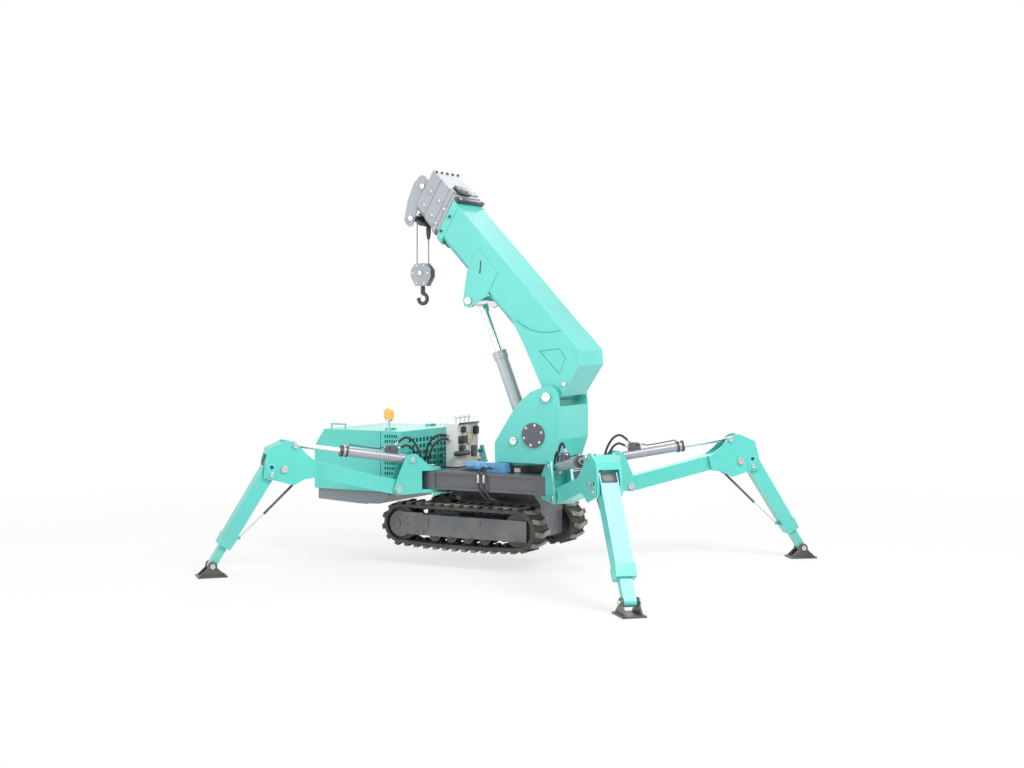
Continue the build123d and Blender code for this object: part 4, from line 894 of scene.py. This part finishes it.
# %% Pin ends on boom, head and post, and the slot of the rod's bracket
settle(stamp(pin_end(18, proud=12), both_faces(-8, 189, 147)), "boom_foot_pins", "steel", "boom_base", BOOM)
settle(stamp(pin_end(27, proud=14), both_faces(925, 189, -13)), "rod_pin_ends", "steel", "boom_base", BOOM)
head_ends = [stamp(pin_end(21, proud=14), both_faces(1702, 152, 37)),
             stamp(pin_end(19, proud=12), both_faces(1800, 152, 262))]
settle(join(head_ends), "head_pin_ends", "steel", "boom_5", BOOM)
# Thin black plates in the bracket's slots are painted shade.
slot_outline = [(1066, 251), (1056, 255), (997, 187), (1006, 181)]
slot_shades = [plate(slot_outline, *on_side(side, 188.2, 189.8), rim=0.5) for side in (-1, 1)]
settle(join(slot_shades), "bracket_slots", "black", "boom_base", BOOM)
post_ends = [stamp(pin_end(33, proud=14), both_faces(309, 234, 1205)),
             stamp(pin_end(27, proud=14), both_faces(51, 228, 895))]
settle(join(post_ends), "post_pin_ends", "steel", "turret")
tell("_pin_ends")

# %% Bolts round the winch drum's covers
WINCH_X, WINCH_Z = 204, 939
cover_ring = [place for x, z in circle(70, 6, start=0.3)
              for place in both_faces(WINCH_X + x, 238, WINCH_Z + z)]
settle(stamp(bolt(7), cover_ring), "winch_cover_bolts", "steel", "turret")
tell("winch_cover_bolts")

# %% [markdown]
# ## Hook block and rope
# The block is two pale plates held by bolts, with black rope guards between them, and a steel latch
# closes the hook's mouth. The rope's fixed end sits in a black wedge socket. The rope itself has six
# strands. They could be a bump on a smooth bar, but against a white ground the outline shows, so a lobed
# ring is swept upwards with a twist. It rides on no body.

# %% Hook block, latch and wedge socket
HOOK_X, BLOCK_TOP, BLOCK_LOW = -829.2, 2150, 1985
SOCKET_X = HOOK_X + 49
spots = [(side * x, z) for x, z in ((30, BLOCK_TOP - 18), (62, BLOCK_TOP - 72), (32, BLOCK_LOW + 18))
         for side in (-1, 1)]
places = [place for x, z in spots for place in both_faces(HOOK_X + x, 35, z)]
settle(stamp(bolt(6.5), places), "hook_block_bolts", "steel", "hook_block")
pin_places = both_faces(HOOK_X, 36, BLOCK_TOP - 70)
settle(stamp(pin_end(17, proud=9), pin_places), "hook_block_pin", "steel", "hook_block")
guards = [block((HOOK_X + x, -22, BLOCK_TOP - 104), (HOOK_X + x + 16, 22, BLOCK_TOP - 44), 4)
          for x in (64, -80)]
settle(join(guards), "rope_guards", "black", "hook_block")
latch = plate([(HOOK_X + x, z) for x, z in ((-3, 1934), (3, 1926), (-35, 1891), (-42, 1898))], -7, 7, rim=1)
settle(latch, "hook_latch", "steel", "hook")
socket_outline = ((-8, 2418), (8, 2418), (16, 2402), (14, 2360),
                  (7, 2324), (-7, 2324), (-14, 2360), (-16, 2402))
socket = plate([(SOCKET_X + x, z) for x, z in socket_outline], -12, 12, rim=4)
settle(socket, "wedge_socket", "black", "hook_ropes")
tell("hook_block_")


# %% Rope falls
def laid_rope(x, low, high, radius):
    """Six-strand rope: a lobed ring swept upwards with a twist."""
    clear()
    bpy.ops.mesh.primitive_circle_add(vertices=12, radius=radius * MM)
    piece = take(bpy.context.object)
    for index, corner in enumerate(piece.data.vertices):
        corner.co *= 0.8 if index % 2 else 1.0
    lay = piece.modifiers.new("lay", "SCREW")
    lay.screw_offset = (high - low) * MM
    lay.angle = 2 * pi * (high - low) / (14 * radius)
    lay.steps = lay.render_steps = int((high - low) / radius * 1.8)
    bpy.ops.object.modifier_apply(modifier="lay")
    piece.data.transform(Matrix.Translation(Vector((x, 0, low)) * MM))
    take(piece)
    bpy.ops.object.mode_set(mode="EDIT")
    bpy.ops.mesh.select_all(action="SELECT")
    bpy.ops.mesh.normals_make_consistent(inside=False)
    bpy.ops.object.mode_set(mode="OBJECT")
    return piece


DEAD_END = 2404
falls_low, falls_high = (Vector(corner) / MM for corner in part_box("rope_falls"))
fall_radius = (falls_high.y - falls_low.y) / 2
live = laid_rope(falls_low.x + fall_radius, falls_low.z, falls_high.z, fall_radius)
dead = laid_rope(falls_high.x - fall_radius, falls_low.z, DEAD_END, fall_radius)
falls = settle(join([live, dead]), "laid_rope_falls", "rope", place=Matrix.Identity(4))
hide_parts("rope_falls")
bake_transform(falls)
tell("laid_rope_falls")

# %% [markdown]
# ## Slew motor
# The blue motor that turns the post has a flange at each end, a ring of bolts and two hoses, which loop
# out over the side beam and in under it. Flanges and bolts are turned parts, so rods and a stamped bolt
# give them. Both hoses have the same run, moved along.

# %% Flanges and bolts
MOTOR_Y, MOTOR_Z = -245, 712
# from and to along X, radius, rim
FLANGES = ((-262, -246, 32, 3), (-313, -299, 27, 5), (-176, -164, 32.5, 3))
flanges = [rod((start, MOTOR_Y, MOTOR_Z), (end, MOTOR_Y, MOTOR_Z), radius, 32, rim)
           for start, end, radius, rim in FLANGES]
flanges.append(block((-236, -285, 690), (-186, -262, 730), 5))
settle(join(flanges), "slew_motor_flanges", "blue", "chassis")
heads = [facing((-262, MOTOR_Y + y, MOTOR_Z + z), (-1, 0, 0)) for y, z in circle(22, 6)]
settle(stamp(bolt(4), heads), "slew_motor_bolts", "steel", "chassis")
tell("slew_motor_")

# %% Motor hoses over the beam
MOTOR_HOSE = ((0, -288, 706), (0, -330, 714), (0, -385, 706), (2, -414, 676), (2, -418, 620), (12, -418, 560),
              (44, -412, 512), (84, -380, 490), (104, -330, 488), (108, -280, 500))
for index, x in enumerate((-128, -84)):
    run = [(x + along, y, z) for along, y, z in MOTOR_HOSE]
    settle(hose(run, 7), f"slew_hose_{index}", "hose", "chassis")
    ends = [rod((x, -288, 706), (x, -312, 711), 10, HEX),
            rod((x + 2, -417.5, 668), (x + 2, -418, 612), 9.5, 12)]
    settle(join(ends), f"slew_hose_end_{index}", "steel", "chassis")
tell("slew_hose_")

# %% [markdown]
# ## Control box
# The pale box has four levers above, and on its face a round gauge, three black knobs, a filter, covers
# and a bar to hold on to. They are made as plain generic forms, without a word on them. Two hoses rise to
# it from the rear rail in an arch.

# %% What the control box carries
FACE = -505
settle(rod((-497, -40, 989), (-497, 236, 989), 6.5), "console_bar", "black", "chassis")
stems = [rod((FACE, y, 982), (-497, y, 988), 5) for y in (-30, 226)]
settle(join(stems), "console_bar_stems", "steel", "chassis")
gauge = join([rod((-506, 98, 882), (-490, 98, 882), 40, 40, rim=3),
              rod((-492, 98, 882), (-485, 98, 882), 6, 12)])
settle(gauge, "console_gauge", "gauge", "chassis")
settle(sleeve((-506, 98, 882), (-486, 98, 882), 44, wall=4), "console_gauge_rim", "steel", "chassis")
KNOBS = (((-506, -14, 922), (-478, 38, 968), 12), ((-506, 160, 900), (-474, 216, 966), 14),
         ((-506, -46, 846), (-470, 40, 900), 6))
settle(join([block(*sizes) for sizes in KNOBS]), "console_knobs", "knob", "chassis")
filters = [rod((-484, -118, 776), (-484, 70, 776), 19, rim=5), rod((-484, -128, 776), (-484, -116, 776), 13)]
settle(join(filters), "console_filter", "iron", "chassis")
covers = [block((FACE, -40, 800), (-480, 30, 828), 6), block((-506, 140, 740), (-498, 220, 820), 3)]
settle(join(covers), "console_cover", "black", "chassis")
face_bolts = [facing((FACE, y, z), (1, 0, 0)) for y in (-44, 228) for z in (700, 968)]
settle(stamp(bolt(5), face_bolts), "console_bolts", "steel", "chassis")
tell("console_")

# %% Hoses from the rear rail to the control box
for index, (shift, drop) in enumerate(((0, 0), (26, 30))):
    run = [(-702 + shift, -182, 566), (-703 + shift, -184, 640), (-700 + shift, -184, 740 - drop),
           (-684 + shift, -178, 830 - drop), (-652 + shift, -160, 890 - drop),
           (-612 + shift, -128, 914 - drop), (-586 + shift * 0.6, -92, 908 - drop),
           (-582 + shift * 0.6, -54, 900 - drop)]
    settle(hose(run, HOSE_RADIUS), f"console_hose_{index}", "hose", "chassis")
    ends = [rod((-702 + shift, -182, 564), (-702.5 + shift, -183, 596), 11, HEX),
            rod(run[-1], (run[-1][0], -78, run[-1][2] + 3), 11, HEX)]
    settle(join(ends), f"console_hose_ends_{index}", "steel", "chassis")
tell("console_hose_")

# %% [markdown]
# ## Small things on the chassis
# A sticker on the slewing ring is left blank. Beside it a brass grease nub catches the light, and under
# the engine end there is a drain plug. Each is small, but stands alone on a plain surface, where the eye
# finds it.

# %% Blank sticker, brass nub and drain plug
turn = radians(-73)
sticker = block((-22, -15, -0.6), (22, 15, 0.8), 0.5)
sticker.data.transform(facing((200.6 * cos(turn), 200.6 * sin(turn), 690), (cos(turn), sin(turn), 0)))
settle(sticker, "blank_sticker", "sticker", "chassis")
turn = radians(-10)
nub_place = facing((198 * cos(turn), 198 * sin(turn), 688), (cos(turn), sin(turn), 0))
settle(stamp(pin_end(12, proud=16), [nub_place]), "brass_nub", "brass", "chassis")
plug = [rod((-1165, -250, 400), (-1165, -250, 414), 24, rim=5),
        rod((-1165, -250, 394), (-1165, -250, 402), 10, HEX)]
settle(join(plug), "drain_plug", "iron", "chassis")
tell("brass_nub")

# %% [markdown]
# ## Tracks
# The belts and their lugs come from the frame. What is missing are the bolts round the drive covers and
# along the side plates, a curved slot in each cover and two small holes in each plate. The slots and
# holes could be cut, but the frame's meshes stay as they are, so thin dark pieces, painted shade, lie in
# their places.

# %% Bolts, slots and holes of the track frames
COVER_X, COVER_Z, COVER_FACE = -773, 291, 398
ring = [place for x, z in circle(64, 8) for place in both_faces(COVER_X + x, COVER_FACE, COVER_Z + z)]
corners = ((-640, 352), (-640, 248), (-570, 330), (-570, 268))
ring += [place for x, z in corners for place in both_faces(x, COVER_FACE, z)]
ring += [place for x in (-365, -196, -10, 160) for place in both_faces(x, 392, 232)]
settle(stamp(bolt(6.5), ring), "track_bolts", "beam_grey", "chassis")
slot_run = ((-795, 326), (-780, 316), (-772, 296), (-776, 268))
# Dark pieces in the slots and holes: painted shade.
slot_shades = [hose([(x, side * 398.5, z) for x, z in slot_run], 3.5) for side in (-1, 1)]
hole_shades = [rod((-126, side * 391, z), (-126, side * 392.8, z), 8) for side in (-1, 1) for z in (316, 334)]
settle(join(slot_shades + hole_shades), "track_slots", "black", "chassis")
tell("track_bolts")

# %% [markdown]
# ## Studio
# The picture's background is plain white. The floor is a wide disc that fades to pure white away from
# the machine, so that no horizon shows, and keeps a soft shadow near the feet. A broad key lamp from the
# post end and above makes the top and front faces pale, as in the picture.

# %% Floor
FLOOR_RADIUS = 45.0
FADE_FROM, FADE_TO = 1.5, 7.0

bpy.ops.object.select_all(action="DESELECT")
bpy.ops.mesh.primitive_circle_add(vertices=96, radius=FLOOR_RADIUS, fill_type="NGON", location=(0, 0, -0.001))
floor = bpy.context.object
floor.name = "floor"
floor_finish = Finish("pale_floor")
away = floor_finish.node("ShaderNodeVectorMath", {"operation": "LENGTH"}, floor_finish.place, out="Value")
seen = floor_finish.node("ShaderNodeLightPath", {}, out="Is Camera Ray")
glossy = floor_finish.node("ShaderNodeLightPath", {}, out="Is Glossy Ray")
through = floor_finish.node("ShaderNodeLightPath", {}, out="Is Transmission Ray")
glow = floor_finish.node("ShaderNodeEmission", {}, (1.0, 1.0, 1.0, 1.0), 1.0)
floor_finish.show(Base_Color=(0.86, 0.86, 0.86, 1.0), Roughness=0.8)
shown = (seen + glossy + through).between(0.0, 1.0) * (away.between(FADE_FROM, FADE_TO) * 0.28 + 0.72)
lit = Wire(floor_finish, floor_finish.shader.outputs[0])
mixed = floor_finish.node("ShaderNodeMixShader", {}, shown, lit, glow)
floor_finish.feed(floor_finish.tree.nodes["Material Output"].inputs["Surface"], mixed)
floor.data.materials.append(floor_finish.material)
floor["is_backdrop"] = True
print("floor", 2 * FLOOR_RADIUS, "m across")

# %% World
AMBIENT = 0.54
world = bpy.data.worlds.new("studio")
world.use_nodes = True
bpy.context.scene.world = world
tree = world.node_tree
path = tree.nodes.new("ShaderNodeLightPath")
add_glossy = tree.nodes.new("ShaderNodeMath")
add_through = tree.nodes.new("ShaderNodeMath")
white = tree.nodes.new("ShaderNodeBackground")
choose = tree.nodes.new("ShaderNodeMixShader")
dim = tree.nodes["Background"]
dim.inputs["Color"].default_value = (1.0, 1.0, 1.0, 1.0)
dim.inputs["Strength"].default_value = AMBIENT
white.inputs["Color"].default_value = (1.0, 1.0, 1.0, 1.0)
tree.links.new(path.outputs["Is Camera Ray"], add_glossy.inputs[0])
tree.links.new(path.outputs["Is Glossy Ray"], add_glossy.inputs[1])
tree.links.new(add_glossy.outputs[0], add_through.inputs[0])
tree.links.new(path.outputs["Is Transmission Ray"], add_through.inputs[1])
tree.links.new(add_through.outputs[0], choose.inputs[0])
tree.links.new(dim.outputs[0], choose.inputs[1])
tree.links.new(white.outputs[0], choose.inputs[2])
tree.links.new(choose.outputs[0], tree.nodes["World Output"].inputs["Surface"])
print("world strength:", AMBIENT)

# %% Lamps
# name, place, what it points at, size in metres, watts
LAMPS = (
    ("key_lamp", (5.5, -3.0, 6.5), (0.0, 0.0, 0.8), 3.5, 500.0),
    ("fill_lamp", (-4.0, -7.0, 3.0), (0.0, 0.0, 0.9), 5.0, 165.0),
    ("back_lamp", (-3.0, 6.0, 5.0), (0.0, 0.0, 1.0), 4.0, 170.0),
)
for name, place, aim, size, watts in LAMPS:
    lamp_data = bpy.data.lights.new(name, "AREA")
    lamp_data.size = size
    lamp_data.energy = watts
    lamp = bpy.data.objects.new(name, lamp_data)
    lamp.location = place
    lamp.rotation_euler = (Vector(aim) - Vector(place)).to_track_quat("-Z", "Y").to_euler()
    bpy.context.scene.collection.objects.link(lamp)
bpy.context.scene.view_settings.view_transform = "Standard"
print("lamps:", len(LAMPS))

# %% Write the sizes and finish
low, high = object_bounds()
print("size:", [round(top - bottom, 3) for bottom, top in zip(low, high)], "m")
